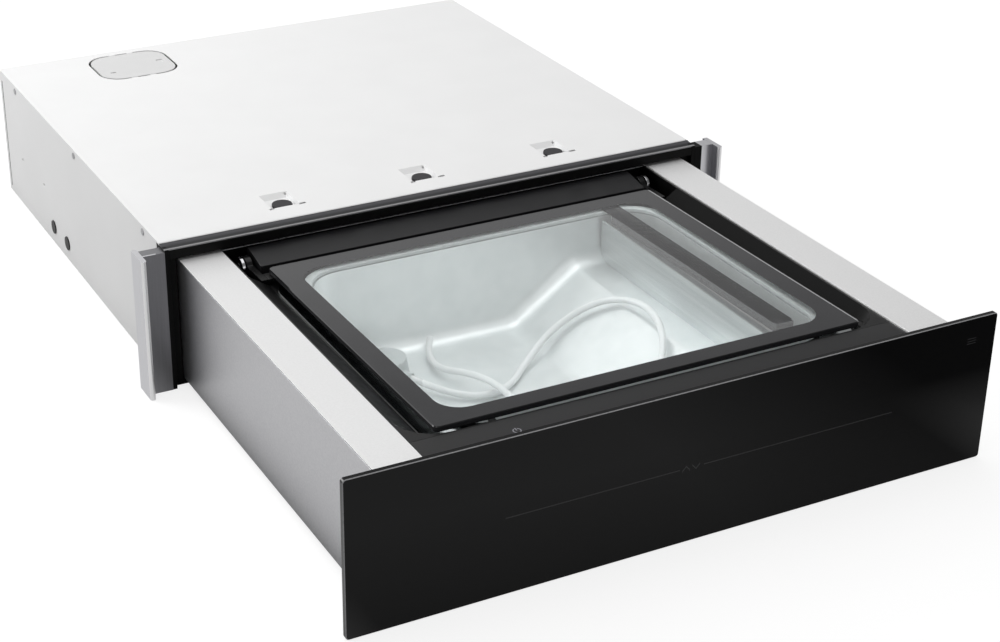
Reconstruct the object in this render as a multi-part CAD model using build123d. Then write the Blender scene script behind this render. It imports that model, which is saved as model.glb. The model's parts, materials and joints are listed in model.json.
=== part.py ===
from build123d import *
import math
import os

# Vacuum sealing drawer, drawn with its drawer pulled out and its lid closed.
# Millimetres. +X right, +Y to the back, +Z up. Origin: centre of the cabinet's base face.

# Cabinet
CABINET_WIDTH = 546.2
CABINET_HEIGHT = 137.8
CABINET_DEPTH = 520.0
SHEET = 1.2
SHEET_FLANGE = 12.0
REAR_SHADOW_GAP = 1.2
TOP_SHEET_SETBACK = 14.0

# Frame round the mouth of the cabinet
POST_WIDTH = 12.1
POST_LIP = 4.0
POST_RECESS = 6.0
FRAME_DEPTH = 21.0
TOP_BAR_HEIGHT = 9.1
BAR_CLEARANCE = 2.9
DRAWER_CLEARANCE = 1.2

# Side trims that close the gap beside the glass front
BRACKET_LEG = 19.9
BRACKET_LEG_THICKNESS = 2.0
FIN_THICKNESS = 5.0
FIN_FORWARD = 11.0
FIN_BACK = 17.0
BRACKET_SHORTFALL = 2.8
PANEL_SIDE_CLEARANCE = 0.5

# Stepped trim along the top of the mouth
TRIM_SETBACK = 0.5
TRIM_RIDGE = 3.0
TRIM_GROOVE = 3.0
TRIM_GROOVE_FLOOR = 0.3
TRIM_STEP_DROP = 0.4
TRIM_REAR_RIDGE = 0.8

# Drawer front
GLASS_THICKNESS = 5.0
GLASS_CORNER = 3.0
GLASS_ARRIS = 0.6
BACKING_DEPTH = 13.5
BACKING_INSET = 15.0
BACKING_DROP = 9.5
PANEL_DROP = 2.3
PANEL_GAP = 1.5

# Drawer box
DRAWER_REAR_CLEARANCE = 20.0
DRAWER_BOTTOM = 5.4
SIDE_BOX_WIDTH = 40.0
WALL_FLANGE = 9.0
REAR_COMPARTMENT = 89.0
HINGE_OUT_OF_FRAME = 12.0
CONTROL_BOARD_THICKNESS = 1.6
CHIP_COUNT = 3
CHIP_SIZE = 16.0
CHIP_HEIGHT = 3.4
CHIP_PITCH = 60.0

# Full-extension slides
SLIDE_HEIGHT = 46.0
SLIDE_DEPTH = 12.7
SLIDE_SHEET = 1.2
SLIDE_PLAY = 0.4
SLIDE_STEP = 1.5
SLIDE_CENTRE = 45.0
SLIDE_FOOT_WIDTH = 14.0
SLIDE_FOOT_LENGTH = 40.0
SLIDE_END_GAP = 10.0

# Vacuum chamber, placed behind the glass front
CHAMBER_SIDE_MARGIN = 46.8
CHAMBER_UNDER_LID = 14.7
CHAMBER_REAR_MARGIN = 24.1
CHAMBER_CORNER = 34.0
CHAMBER_FLOOR = 27.0
CHAMBER_WALL = 1.5
CHAMBER_TAPER = 6.0
CHAMBER_FILLET = 15.0
RAMP_FOOT_FROM_SIDE = 143.0
RAMP_FOOT_RADIUS = 22.0
SHELF_WIDTH = 76.0
SHELF_EDGE_RADIUS = 12.0
SHELF_LEVEL = 70.5
FLANGE_SIDE = 25.0
FLANGE_FRONT = 16.0
FLANGE_REAR = 10.0
SEAL_WIDTH = 8.0
SEAL_HEIGHT = 3.3
SEAL_OFFSET = 5.5
SEAL_GAP = 0.2

# Moulding round the chamber
WELL_RIM_DROP = 1.4
WELL_THICKNESS = 3.0
WELL_SLOPE_TOP = 2.3
TROUGH_DEPTH = 24.0
TROUGH_MARGIN = 0.5
WELL_REAR_WALL = 3.0
SWITCH_WIDTH = 7.0
SWITCH_LENGTH = 10.0
SWITCH_BESIDE_LID = 5.0
SWITCH_BEHIND_CORNER = 4.0
SWITCH_ABOVE_GLASS = 2.0

# Glass lid and its hinge
LID_SIDE_OVERLAP = 21.4
LID_FRONT = 51.3
LID_THICKNESS = 4.8
LID_AJAR = 0.9
LID_CORNER = 6.0
LID_BAR_CLEARANCE = 6.7
LID_ARRIS = 1.0
HINGE_BEHIND_LID = 28.9
WELL_BEHIND_HINGE = 28.0
HINGE_BELOW_GLASS = 3.5
HINGE_PIN_RADIUS = 3.0
HINGE_LUG_RADIUS = 9.0
HINGE_ARM_THICKNESS = 6.0
HINGE_ARM_GAP = 5.1
HINGE_BRACKET_THICKNESS = 3.0
HINGE_ARM_HEIGHT = 5.0
HINGE_SIDE_PLAY = 1.0
PIN_HEAD_THICKNESS = 1.5
PIN_HEAD_RADIUS = 4.5
RAIL_DEPTH = 13.0
RAIL_HEIGHT = 4.5
COVER_FRONT_GAP = 6.0
COVER_DEPTH = 37.0
COVER_SHEET = 2.5
COVER_END_GAP = 3.0
COVER_ABOVE_RIM = 0.4
COVER_FRONT_DROP = 5.0
COVER_SLOPE = 12.0
COVER_FALL = 1.0

# Seal bar on the chamber's shelf and the bar above it under the lid
BAR_FROM_SIDE = 32.3
LIFTER_OFFSET = 3.1
BAR_WIDTH = 17.5
BAR_END_MARGIN = 11.0
BAR_HEIGHT = 12.0
BAR_LIFT = 6.0
BAR_TO_COUNTER = 0.4
BAR_FRONT_MARGIN = 14.0
HEATER_THICKNESS = 0.3
HEATER_WIDTH = 6.0
COUNTER_WIDTH = 17.4
COUNTER_HEIGHT = 8.0
CARRIER_WIDTH = 28.0
CARRIER_TOP_GAP = 6.0
CARRIER_END_MARGIN = 2.7
CARRIER_CLEARANCE = 0.3
CARRIER_SEAT_MARGIN = 12.0
LIFT_ROD_RADIUS = 4.0
LIFT_ROD_INSET = 49.5
SLEEVE_WALL = 4.0
SLEEVE_COLLAR = 3.0
SLEEVE_LENGTH = 24.0
YOKE_HEIGHT = 4.0
LIFT_CYLINDER_RADIUS = 16.0
LIFT_PISTON_RADIUS = 8.0

# Hose kit that lies in the chamber
ADAPTER_X = -118.0
ADAPTER_BEHIND = 298.0
ADAPTER_RADIUS = 22.0
ADAPTER_HEIGHT = 21.0
PORT_RADIUS = 9.0
PORT_BORE = 5.0
HOSE_DIAMETER = 6.0
HOSE_BORE = 4.0
SPIGOT_LENGTH = 8.0
SPIGOT_WALL = 1.5
ADAPTER_TAPER = 4.0
ADAPTER_ROOF = 4.0
ADAPTER_PLAY = 1.0
ADAPTER_LIFT = 0.3
PORT_ABOVE_FLOOR = 3.0
PORT_UNDER_CLEARANCE = 2.0
PORT_NUT = 3.0
PORT_NUT_MARGIN = 4.0

# Pump with its motor, on rubber feet behind the chamber
PUMP_FROM_SIDE = 34.8
PUMP_LENGTH = 88.0
PUMP_WIDTH = 58.0
PUMP_HEIGHT = 80.0
PUMP_PLATE = 3.0
PUMP_PLATE_MARGIN = 4.0
PUMP_FIN_COUNT = 6
PUMP_FIN_PITCH = 14.0
PUMP_FIN_WIDTH = 3.0
PUMP_FIN_DEPTH = 3.0
PUMP_FIN_FOOT = 9.0
PUMP_FIN_HEIGHT = 62.0
PUMP_CAP_RADIUS = 15.0
PUMP_CAP_HEIGHT = 10.0
PUMP_CAP_SPACING = 40.0
PUMP_FOOT_RADIUS = 8.0
PUMP_FOOT_HEIGHT = 8.0
PUMP_FOOT_INSET = 10.0
MOTOR_RADIUS = 32.0
MOTOR_LENGTH = 74.0
MOTOR_WALL = 5.0
MOTOR_ABOVE_PLATE = 4.0
MOTOR_SADDLE_INSET = 10.0
MOTOR_SADDLE_WIDTH = 40.0
ROTOR_GAP = 1.0
ROTOR_END_GAP = 4.0
SHAFT_RADIUS = 5.0
SHAFT_IN_PUMP = 28.0
SHAFT_END_GAP = 2.0
COOLING_WHEEL_RADIUS = 27.0
COOLING_WHEEL_WIDTH = 9.0
COOLING_WHEEL_DISC = 2.0
COOLING_WHEEL_HUB = 9.0
COOLING_BLADES = 8
COOLING_BLADE = 1.6

# Fan, transformer, valves and board beside the pump
FAN_SIZE = 60.0
FAN_DEPTH = 18.0
FAN_X = 100.0
FAN_ABOVE_FLOOR = 20.0
FAN_RING_WALL = 2.0
FAN_SPOKE = 4.0
FAN_SPOKE_DEPTH = 3.0
FAN_HUB_RADIUS = 11.0
FAN_AXLE_RADIUS = 2.0
FAN_BLADES = 7
FAN_BLADE = 1.4
FAN_BLADE_CHORD = 11.0
FAN_BLADE_TILT = 30.0
FAN_TIP_GAP = 1.0
FAN_END_GAP = 0.3
FAN_FOOT_WIDTH = 8.0
TRANSFORMER_FROM_SIDE = 47.8
CORE_WIDTH = 60.0
CORE_DEPTH = 36.0
CORE_HEIGHT = 52.0
COIL_WIDTH = 38.0
COIL_DEPTH = 54.0
COIL_HEIGHT = 34.0
VALVES_X = 41.0
VALVES_WIDTH = 42.0
VALVES_DEPTH = 28.0
VALVES_HEIGHT = 26.0
VALVES_FORWARD = 14.0
SOLENOID_RADIUS = 9.0
SOLENOID_HEIGHT = 32.0
SOLENOID_SPACING = 20.0
BOARD_X = 33.0
BOARD_WIDTH = 66.0
BOARD_HEIGHT = 90.0
BOARD_THICKNESS = 1.6
BOARD_BACK = 22.0
BOARD_PART_SIZE = 16.0
BOARD_PART_DEPTH = 12.0
BOARD_PART_ROWS = 2

# Cabinet details
SCREW_RADIUS = 1.6
SCREW_HEAD_RADIUS = 3.2
SCREW_HEAD_HEIGHT = 0.8
SCREW_DROP = 6.1
SCREW_BEHIND_FRONT = 57.7
SCREW_PITCH = 201.6
SIDE_HOLE_RADIUS = 1.6
SIDE_HOLE_LEVEL = 56.4
SIDE_HOLE_FROM_BACK = 64.1
SIDE_HOLE_PITCH = 76.7
PLUG_RADIUS = 6.0
PLUG_LEVEL = 19.0
PLUG_FROM_BACK = 166.6
PLUG_PITCH = 45.7
POCKET_WIDTH = 27.5
POCKET_LENGTH = 32.5
POCKET_DEPTH = 4.0
POCKET_BEHIND_FRONT = 40.5
POCKET_PITCH = 142.0
BUFFER_RADIUS = 9.5
BUFFER_HEIGHT = 3.0
COVER_PLATE_WIDTH = 82.0
COVER_PLATE_LENGTH = 74.4
COVER_PLATE_CHAMFER = 20.0
COVER_PLATE_THICKNESS = 0.8
COVER_PLATE_GAP = 0.6
COVER_PLATE_X = -140.0
COVER_PLATE_FROM_BACK = 51.0
CABLE_HOLE_MARGIN = 9.0
VENT_COUNT = 14
VENT_WIDTH = 4.0
VENT_HEIGHT = 36.0
VENT_PITCH = 9.0
GLAND_X = -205.0
GLAND_LEVEL = 30.0
GLAND_BORE = 4.2
GLAND_BODY_RADIUS = 8.0
GLAND_FLANGE_RADIUS = 11.5
GLAND_FLANGE = 3.0
GLAND_INSIDE = 9.0
LATCH_TRAVEL = 4.0
LATCH_REST_GAP = 0.5
LATCH_RADIUS = 5.0
LATCH_LEVEL = 60.0
LATCH_BODY = 26.0

# Running clearance of pins, rods and shafts in their bores
RUNNING_CLEARANCE = 0.05

# Places worked out from the sizes above
HALF_CABINET = CABINET_WIDTH / 2
FRONT_Y = -CABINET_DEPTH / 2
BACK_Y = CABINET_DEPTH / 2
TOP_SHEET_UNDER = CABINET_HEIGHT - SHEET
PANEL_DEPTH = GLASS_THICKNESS + BACKING_DEPTH
DRAWER_LENGTH = PANEL_DEPTH + PANEL_GAP + CABINET_DEPTH - DRAWER_REAR_CLEARANCE
WELL_REAR = DRAWER_LENGTH - REAR_COMPARTMENT
HINGE_BEHIND = WELL_REAR - WELL_BEHIND_HINGE
DRAWER_TRAVEL = HINGE_BEHIND + HINGE_OUT_OF_FRAME - PANEL_GAP - PANEL_DEPTH
PANEL_FRONT_Y = FRONT_Y - DRAWER_TRAVEL - PANEL_GAP - PANEL_DEPTH
SLIDE_LENGTH = CABINET_DEPTH - 2 * SLIDE_END_GAP
HALF_DRAWER = HALF_CABINET - POST_WIDTH - DRAWER_CLEARANCE
HALF_WELL = HALF_DRAWER - SIDE_BOX_WIDTH
TOP_BAR_UNDER = TOP_SHEET_UNDER - TOP_BAR_HEIGHT
DRAWER_TOP = TOP_BAR_UNDER - BAR_CLEARANCE
STRIP_UNDER = DRAWER_TOP - SHEET
FLOOR_TOP = DRAWER_BOTTOM + SHEET
FIN_INNER = HALF_CABINET + BRACKET_LEG
FIN_OUTER = FIN_INNER + FIN_THICKNESS
HALF_PANEL = FIN_INNER - PANEL_SIDE_CLEARANCE
PANEL_HEIGHT = CABINET_HEIGHT - PANEL_DROP
CHAMBER_WIDTH = 2 * (HALF_WELL - CHAMBER_SIDE_MARGIN)
LID_WIDTH = CHAMBER_WIDTH + 2 * LID_SIDE_OVERLAP
LID_DEPTH = HINGE_BEHIND - HINGE_BEHIND_LID - LID_FRONT
CHAMBER_FRONT = LID_FRONT + CHAMBER_UNDER_LID
CHAMBER_DEPTH = LID_FRONT + LID_DEPTH - CHAMBER_REAR_MARGIN - CHAMBER_FRONT
RAMP_FOOT = CHAMBER_WIDTH / 2 - RAMP_FOOT_FROM_SIDE
SHELF_START = CHAMBER_WIDTH / 2 - SHELF_WIDTH
BAR_X = CHAMBER_WIDTH / 2 - BAR_FROM_SIDE
LIFTER_X = BAR_X + LIFTER_OFFSET
BAR_FRONT = CHAMBER_FRONT + BAR_FRONT_MARGIN
BAR_LENGTH = CHAMBER_DEPTH - BAR_FRONT_MARGIN - BAR_END_MARGIN
LIFT_ROD_SPACING = BAR_LENGTH - 2 * LIFT_ROD_INSET
PUMP_X = PUMP_FROM_SIDE - HALF_WELL
TRANSFORMER_X = HALF_WELL - TRANSFORMER_FROM_SIDE
LID_TOP = TOP_BAR_UNDER - LID_BAR_CLEARANCE
LID_UNDER = LID_TOP - LID_THICKNESS
FLANGE_TOP = LID_UNDER - SEAL_GAP - SEAL_HEIGHT
LEDGE = FLANGE_TOP - CHAMBER_WALL
WELL_RIM = DRAWER_TOP - WELL_RIM_DROP
HINGE_LEVEL = LID_UNDER - HINGE_BELOW_GLASS
ARM_INNER = LID_WIDTH / 2 + HINGE_ARM_GAP
ARM_OUTER = ARM_INNER + HINGE_ARM_THICKNESS
BRACKET_INNER = ARM_OUTER + HINGE_SIDE_PLAY
CONTROL_REAR = LID_FRONT - COVER_FRONT_GAP
CLOSED_REAR_Y = PANEL_FRONT_Y + DRAWER_TRAVEL + DRAWER_LENGTH
COUNTER_UNDER = LID_UNDER - COUNTER_HEIGHT
BAR_TOP = COUNTER_UNDER - BAR_TO_COUNTER - BAR_LIFT
TROUGH_FLOOR = WELL_RIM - TROUGH_DEPTH
SLEEVE_RADIUS = LIFT_ROD_RADIUS + SLEEVE_WALL
COMPARTMENT_BEHIND = (WELL_REAR + DRAWER_LENGTH) / 2
PUMP_BASE = FLOOR_TOP + PUMP_FOOT_HEIGHT
SHAFT_LEVEL = PUMP_BASE + PUMP_PLATE + MOTOR_ABOVE_PLATE + MOTOR_RADIUS
FAN_LEVEL = FLOOR_TOP + FAN_ABOVE_FLOOR + FAN_SIZE / 2


def behind(distance):
    """Y of a place that lies this far behind the glass front's face, with the drawer out."""
    return PANEL_FRONT_Y + distance


def block(x0, x1, y0, y1, z0, z1):
    middle = Pos((x0 + x1) / 2, (y0 + y1) / 2, (z0 + z1) / 2)
    return middle * Box(x1 - x0, y1 - y0, z1 - z0)


def mirrored(shape):
    return mirror(shape, about=Plane.YZ)


def rod_x(x0, x1, y, z, radius):
    return Pos((x0 + x1) / 2, y, z) * Rot(0, 90, 0) * Cylinder(radius, x1 - x0)


def rod_y(x, y0, y1, z, radius):
    return Pos(x, (y0 + y1) / 2, z) * Rot(90, 0, 0) * Cylinder(radius, y1 - y0)


def rod_z(x, y, z0, z1, radius):
    return Pos(x, y, (z0 + z1) / 2) * Cylinder(radius, z1 - z0)


def rounded_block(x0, x1, y0, y1, z0, z1, radius):
    plan = Pos((x0 + x1) / 2, (y0 + y1) / 2, z0) * RectangleRounded(x1 - x0, y1 - y0, radius)
    return extrude(plan, z1 - z0)


def along_x(points, x0, x1):
    """Solid of a closed (y, z) outline that runs from x0 to x1."""
    outline = Polyline([(x0, y, z) for y, z in points], close=True)
    return extrude(make_face(outline), x1 - x0, dir=(1, 0, 0))


def box_at(x, y, base, width, depth, height):
    """Box that stands on a level, centred on a place."""
    return Pos(x, y, base + height / 2) * Box(width, depth, height)


def save(name, *shapes):
    solids = [solid for shape in shapes for solid in shape.solids()]
    part = solids[0] if len(solids) == 1 else Compound(children=solids)
    export_step(part, f"parts/{name}.step")


def save_pair(name, right):
    save(f"{name}_right", right)
    save(f"{name}_left", mirrored(right))


def save_both(name, right):
    save(name, right, mirrored(right))


def screw_places():
    return [FRONT_Y + SCREW_BEHIND_FRONT + SCREW_PITCH * number for number in range(3)]


def side_hole_places():
    last = BACK_Y - SIDE_HOLE_FROM_BACK
    return [last - SIDE_HOLE_PITCH, last]


def plug_places():
    last = BACK_Y - PLUG_FROM_BACK
    return [last - PLUG_PITCH, last]


def pocket_places():
    return [-POCKET_PITCH, 0.0, POCKET_PITCH]


def cabinet_base():
    floor = block(-HALF_CABINET + SHEET, HALF_CABINET - SHEET, FRONT_Y + FRAME_DEPTH, BACK_Y - SHEET, 0, SHEET)
    lip = block(-HALF_CABINET + SHEET, HALF_CABINET - SHEET, FRONT_Y + FRAME_DEPTH,
                FRONT_Y + FRAME_DEPTH + SHEET, SHEET, DRAWER_BOTTOM - DRAWER_CLEARANCE)
    return floor + lip


def cabinet_side():
    side = block(HALF_CABINET - SHEET, HALF_CABINET, FRONT_Y + FRAME_DEPTH,
                 BACK_Y - SHEET - REAR_SHADOW_GAP, 0, TOP_SHEET_UNDER)
    for y in screw_places():
        level = CABINET_HEIGHT - SCREW_DROP
        side -= rod_x(HALF_CABINET - 2 * SHEET, HALF_CABINET + SHEET, y, level, SCREW_RADIUS)
    for y in side_hole_places():
        side -= rod_x(HALF_CABINET - 2 * SHEET, HALF_CABINET + SHEET, y, SIDE_HOLE_LEVEL, SIDE_HOLE_RADIUS)
    for y in plug_places():
        side -= rod_x(HALF_CABINET - 2 * SHEET, HALF_CABINET + SHEET, y, PLUG_LEVEL, PLUG_RADIUS)
    return side


def cabinet_rear_panel():
    plate = block(-HALF_CABINET, HALF_CABINET, BACK_Y - SHEET, BACK_Y, 0, TOP_SHEET_UNDER)
    flange = block(HALF_CABINET - 2 * SHEET, HALF_CABINET - SHEET, BACK_Y - SHEET - SHEET_FLANGE,
                   BACK_Y - SHEET, SHEET, TOP_SHEET_UNDER - SHEET_FLANGE)
    panel = plate + flange + mirrored(flange)
    first = -VENT_PITCH * (VENT_COUNT - 1) / 2
    for number in range(VENT_COUNT):
        x = FAN_X + first + VENT_PITCH * number
        middle = CABINET_HEIGHT / 2
        panel -= block(x - VENT_WIDTH / 2, x + VENT_WIDTH / 2, BACK_Y - 2 * SHEET, BACK_Y + SHEET,
                       middle - VENT_HEIGHT / 2, middle + VENT_HEIGHT / 2)
    return panel - rod_y(GLAND_X, BACK_Y - 2 * SHEET, BACK_Y + SHEET, GLAND_LEVEL, GLAND_BODY_RADIUS)


def cable_hole_centre():
    return BACK_Y - COVER_PLATE_FROM_BACK


def cover_plate_block(growth, z0, z1):
    """Eight-sided block as large as the cover plate, grown all round."""
    corner = COVER_PLATE_CHAMFER + growth * (2 - math.sqrt(2))
    outline = Rectangle(COVER_PLATE_WIDTH + 2 * growth, COVER_PLATE_LENGTH + 2 * growth)
    outline = chamfer(outline.vertices(), corner)
    outline = fillet(outline.vertices(), COVER_PLATE_CHAMFER / 2)
    return extrude(Pos(COVER_PLATE_X, cable_hole_centre(), z0) * outline, z1 - z0)


def cabinet_top_sheet():
    front = FRONT_Y + TOP_SHEET_SETBACK
    sheet = block(-HALF_CABINET, HALF_CABINET, front, BACK_Y, TOP_SHEET_UNDER, CABINET_HEIGHT)
    flange = block(HALF_CABINET - 2 * SHEET, HALF_CABINET - SHEET, front + SHEET_FLANGE,
                   BACK_Y - SHEET, TOP_SHEET_UNDER - SHEET_FLANGE, TOP_SHEET_UNDER)
    for y in screw_places():
        flange -= rod_x(HALF_CABINET - 3 * SHEET, HALF_CABINET, y, CABINET_HEIGHT - SCREW_DROP, SCREW_RADIUS)
    sheet += flange + mirrored(flange)
    for x in pocket_places():
        y0 = FRONT_Y + POCKET_BEHIND_FRONT
        y1 = y0 + POCKET_LENGTH
        half = POCKET_WIDTH / 2
        floor = CABINET_HEIGHT - POCKET_DEPTH
        tray = block(x - half - SHEET, x + half + SHEET, y0 - SHEET, y1 + SHEET, floor - SHEET, CABINET_HEIGHT)
        sheet = sheet + tray - block(x - half, x + half, y0, y1, floor, CABINET_HEIGHT + SHEET)
    seat = CABINET_HEIGHT - COVER_PLATE_THICKNESS
    sheet += cover_plate_block(COVER_PLATE_GAP + SHEET, seat - SHEET, CABINET_HEIGHT)
    sheet -= cover_plate_block(COVER_PLATE_GAP, seat, CABINET_HEIGHT + SHEET)
    centre = cable_hole_centre()
    half_x = COVER_PLATE_WIDTH / 2 - CABLE_HOLE_MARGIN
    half_y = COVER_PLATE_LENGTH / 2 - CABLE_HOLE_MARGIN
    hole = rounded_block(COVER_PLATE_X - half_x, COVER_PLATE_X + half_x, centre - half_y, centre + half_y,
                         TOP_SHEET_UNDER - 2 * SHEET, CABINET_HEIGHT + SHEET, CABLE_HOLE_MARGIN)
    return sheet - hole


def cable_cover_plate():
    return cover_plate_block(0, CABINET_HEIGHT - COVER_PLATE_THICKNESS, CABINET_HEIGHT)


def top_buffers():
    floor = CABINET_HEIGHT - POCKET_DEPTH
    y = FRONT_Y + POCKET_BEHIND_FRONT + BUFFER_RADIUS
    return [rod_z(x, y, floor, floor + BUFFER_HEIGHT, BUFFER_RADIUS) for x in pocket_places()]


def case_screws():
    level = CABINET_HEIGHT - SCREW_DROP
    screws = []
    for y in screw_places():
        shank = rod_x(HALF_CABINET - 2 * SHEET, HALF_CABINET, y, level, SCREW_RADIUS)
        head = rod_x(HALF_CABINET, HALF_CABINET + SCREW_HEAD_HEIGHT, y, level, SCREW_HEAD_RADIUS)
        screws += [shank + head, mirrored(shank + head)]
    return screws


def side_plugs():
    plugs = []
    for y in plug_places():
        stem = rod_x(HALF_CABINET - 2 * SHEET, HALF_CABINET, y, PLUG_LEVEL, PLUG_RADIUS)
        head = rod_x(HALF_CABINET, HALF_CABINET + SHEET, y, PLUG_LEVEL, PLUG_RADIUS + SHEET)
        plugs += [stem + head, mirrored(stem + head)]
    return plugs


def front_top_trim():
    """Stepped strip between the mouth's edge and the top sheet: ridge, groove, step and rear ridge."""
    z0, z1 = TOP_SHEET_UNDER, CABINET_HEIGHT
    groove, step = z0 + TRIM_GROOVE_FLOOR, z1 - TRIM_STEP_DROP
    y0 = FRONT_Y + TRIM_SETBACK
    y1 = FRONT_Y + TOP_SHEET_SETBACK
    ridge_end = y0 + TRIM_RIDGE
    groove_start = ridge_end + SHEET
    groove_end = groove_start + TRIM_GROOVE
    step_start = groove_end + SHEET
    step_end = y1 - TRIM_REAR_RIDGE - TRIM_STEP_DROP
    outline = [(y0, z0), (y0, z1), (ridge_end, z1), (groove_start, groove), (groove_end, groove),
               (step_start, step), (step_end, step), (y1 - TRIM_REAR_RIDGE, z1), (y1, z1), (y1, z0)]
    return along_x(outline, -HALF_CABINET, HALF_CABINET)


def frame_post():
    inner = HALF_DRAWER + DRAWER_CLEARANCE
    lip = block(HALF_CABINET - POST_LIP, HALF_CABINET, FRONT_Y, FRONT_Y + FRAME_DEPTH, 0, TOP_SHEET_UNDER)
    web = block(inner, HALF_CABINET, FRONT_Y + POST_RECESS, FRONT_Y + FRAME_DEPTH,
                DRAWER_BOTTOM - DRAWER_CLEARANCE, TOP_BAR_UNDER)
    return lip + web


def frame_top_bar():
    half = HALF_CABINET - POST_LIP
    return block(-half, half, FRONT_Y, FRONT_Y + FRAME_DEPTH, TOP_BAR_UNDER, TOP_SHEET_UNDER)


def frame_bottom_bar():
    half = HALF_CABINET - POST_LIP
    return block(-half, half, FRONT_Y + POST_RECESS, FRONT_Y + FRAME_DEPTH, 0, DRAWER_BOTTOM - DRAWER_CLEARANCE)


def mounting_bracket():
    top = CABINET_HEIGHT - BRACKET_SHORTFALL
    leg = block(HALF_CABINET, FIN_INNER, FRONT_Y, FRONT_Y + BRACKET_LEG_THICKNESS, 0, top)
    fin = block(FIN_INNER, FIN_OUTER, FRONT_Y - FIN_FORWARD, FRONT_Y + FIN_BACK, 0, top)
    flange = block(HALF_CABINET, HALF_CABINET + BRACKET_LEG_THICKNESS, FRONT_Y,
                   FRONT_Y + FRAME_DEPTH + 2 * SHEET_FLANGE, 0, top)
    return leg + fin + flange


def slide_profile(level, y0, y1):
    """Right-hand slide member: 0 is the cabinet's, 1 the middle and 2 the drawer's."""
    wall = HALF_WELL + SHEET
    nest = level * (SLIDE_SHEET + SLIDE_PLAY)
    half = SLIDE_HEIGHT / 2 - nest
    low, high = SLIDE_CENTRE - half, SLIDE_CENTRE + half
    if level == 2:
        web_inner = wall
        channel_inner = wall
        channel_outer = wall + SLIDE_DEPTH - 2 * (SLIDE_SHEET + SLIDE_PLAY) - SLIDE_PLAY
    else:
        web_inner = wall + SLIDE_DEPTH - SLIDE_SHEET - nest
        channel_inner = wall + SLIDE_STEP * (3 - level)
        channel_outer = web_inner + SLIDE_SHEET
    web = block(web_inner, web_inner + SLIDE_SHEET, y0, y1, low, high)
    lower = block(channel_inner, channel_outer, y0, y1, low, low + SLIDE_SHEET)
    upper = block(channel_inner, channel_outer, y0, y1, high - SLIDE_SHEET, high)
    return web + lower + upper


def slide_outer():
    y0 = FRONT_Y + SLIDE_END_GAP
    y1 = y0 + SLIDE_LENGTH
    member = slide_profile(0, y0, y1)
    back = HALF_WELL + SHEET + SLIDE_DEPTH
    foot_x = back + SLIDE_FOOT_WIDTH
    for start in (FRONT_Y + FRAME_DEPTH + SHEET_FLANGE, y1 - SLIDE_FOOT_LENGTH - SHEET_FLANGE):
        upright = block(back, back + SHEET, start, start + SLIDE_FOOT_LENGTH, SHEET, SLIDE_CENTRE)
        foot = block(back, foot_x, start, start + SLIDE_FOOT_LENGTH, SHEET, 2 * SHEET)
        member += upright + foot
    return member


def slide_middle():
    y0 = FRONT_Y + SLIDE_END_GAP - DRAWER_TRAVEL / 2
    return slide_profile(1, y0, y0 + SLIDE_LENGTH)


def slide_inner():
    y0 = behind(PANEL_DEPTH) + SLIDE_END_GAP
    return slide_profile(2, y0, behind(DRAWER_LENGTH) - SHEET - SLIDE_PLAY)


def mains_gland():
    body = rod_y(GLAND_X, BACK_Y - SHEET - GLAND_INSIDE, BACK_Y, GLAND_LEVEL, GLAND_BODY_RADIUS)
    flange = rod_y(GLAND_X, BACK_Y, BACK_Y + GLAND_FLANGE, GLAND_LEVEL, GLAND_FLANGE_RADIUS)
    bore = rod_y(GLAND_X, BACK_Y - SHEET - 2 * GLAND_INSIDE, BACK_Y + 2 * GLAND_FLANGE, GLAND_LEVEL, GLAND_BORE)
    return body + flange - bore


def push_latch():
    tip = CLOSED_REAR_Y + LATCH_REST_GAP
    mouth = tip + LATCH_TRAVEL
    back = BACK_Y - SHEET
    tail = back - SHEET - LATCH_TRAVEL - LATCH_REST_GAP
    half = LATCH_BODY / 2
    housing = block(-half, half, mouth, back, LATCH_LEVEL - half, LATCH_LEVEL + half)
    housing -= rod_y(0, mouth - SHEET, back - SHEET, LATCH_LEVEL, LATCH_RADIUS + RUNNING_CLEARANCE)
    plunger = rod_y(0, tip, tail, LATCH_LEVEL, LATCH_RADIUS)
    return housing, plunger


def front_glass():
    face = Pos(0, PANEL_FRONT_Y, PANEL_HEIGHT / 2) * Rot(90, 0, 0) * RectangleRounded(
        2 * HALF_PANEL, PANEL_HEIGHT, GLASS_CORNER)
    glass = extrude(face, GLASS_THICKNESS, dir=(0, 1, 0))
    front_edges = glass.faces().sort_by(Axis.Y)[0].edges()
    return chamfer(front_edges, GLASS_ARRIS)


def front_backing():
    """Folded steel tray, open towards the glass that is bonded to its rim."""
    half = HALF_PANEL - BACKING_INSET
    height = PANEL_HEIGHT - BACKING_DROP
    y0, y1 = behind(GLASS_THICKNESS), behind(PANEL_DEPTH)
    tray = block(-half, half, y0, y1, 0, height)
    return tray - block(-half + SHEET, half - SHEET, y0 - SHEET, y1 - SHEET, SHEET, height - SHEET)


def control_panel():
    y0, y1 = behind(PANEL_DEPTH), behind(CONTROL_REAR)
    return block(-HALF_WELL, HALF_WELL, y0, y1, WELL_RIM - WELL_THICKNESS, WELL_RIM)


def control_board():
    y0, y1 = behind(PANEL_DEPTH) + SHEET, behind(CONTROL_REAR) - SHEET
    top = WELL_RIM - WELL_THICKNESS
    under = top - CONTROL_BOARD_THICKNESS
    board = block(-HALF_WELL / 2, HALF_WELL / 2, y0, y1, under, top)
    first = -CHIP_PITCH * (CHIP_COUNT - 1) / 2
    for number in range(CHIP_COUNT):
        x = first + CHIP_PITCH * number
        board += box_at(x, (y0 + y1) / 2, under - CHIP_HEIGHT, CHIP_SIZE, CHIP_SIZE, CHIP_HEIGHT)
    return board


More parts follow.
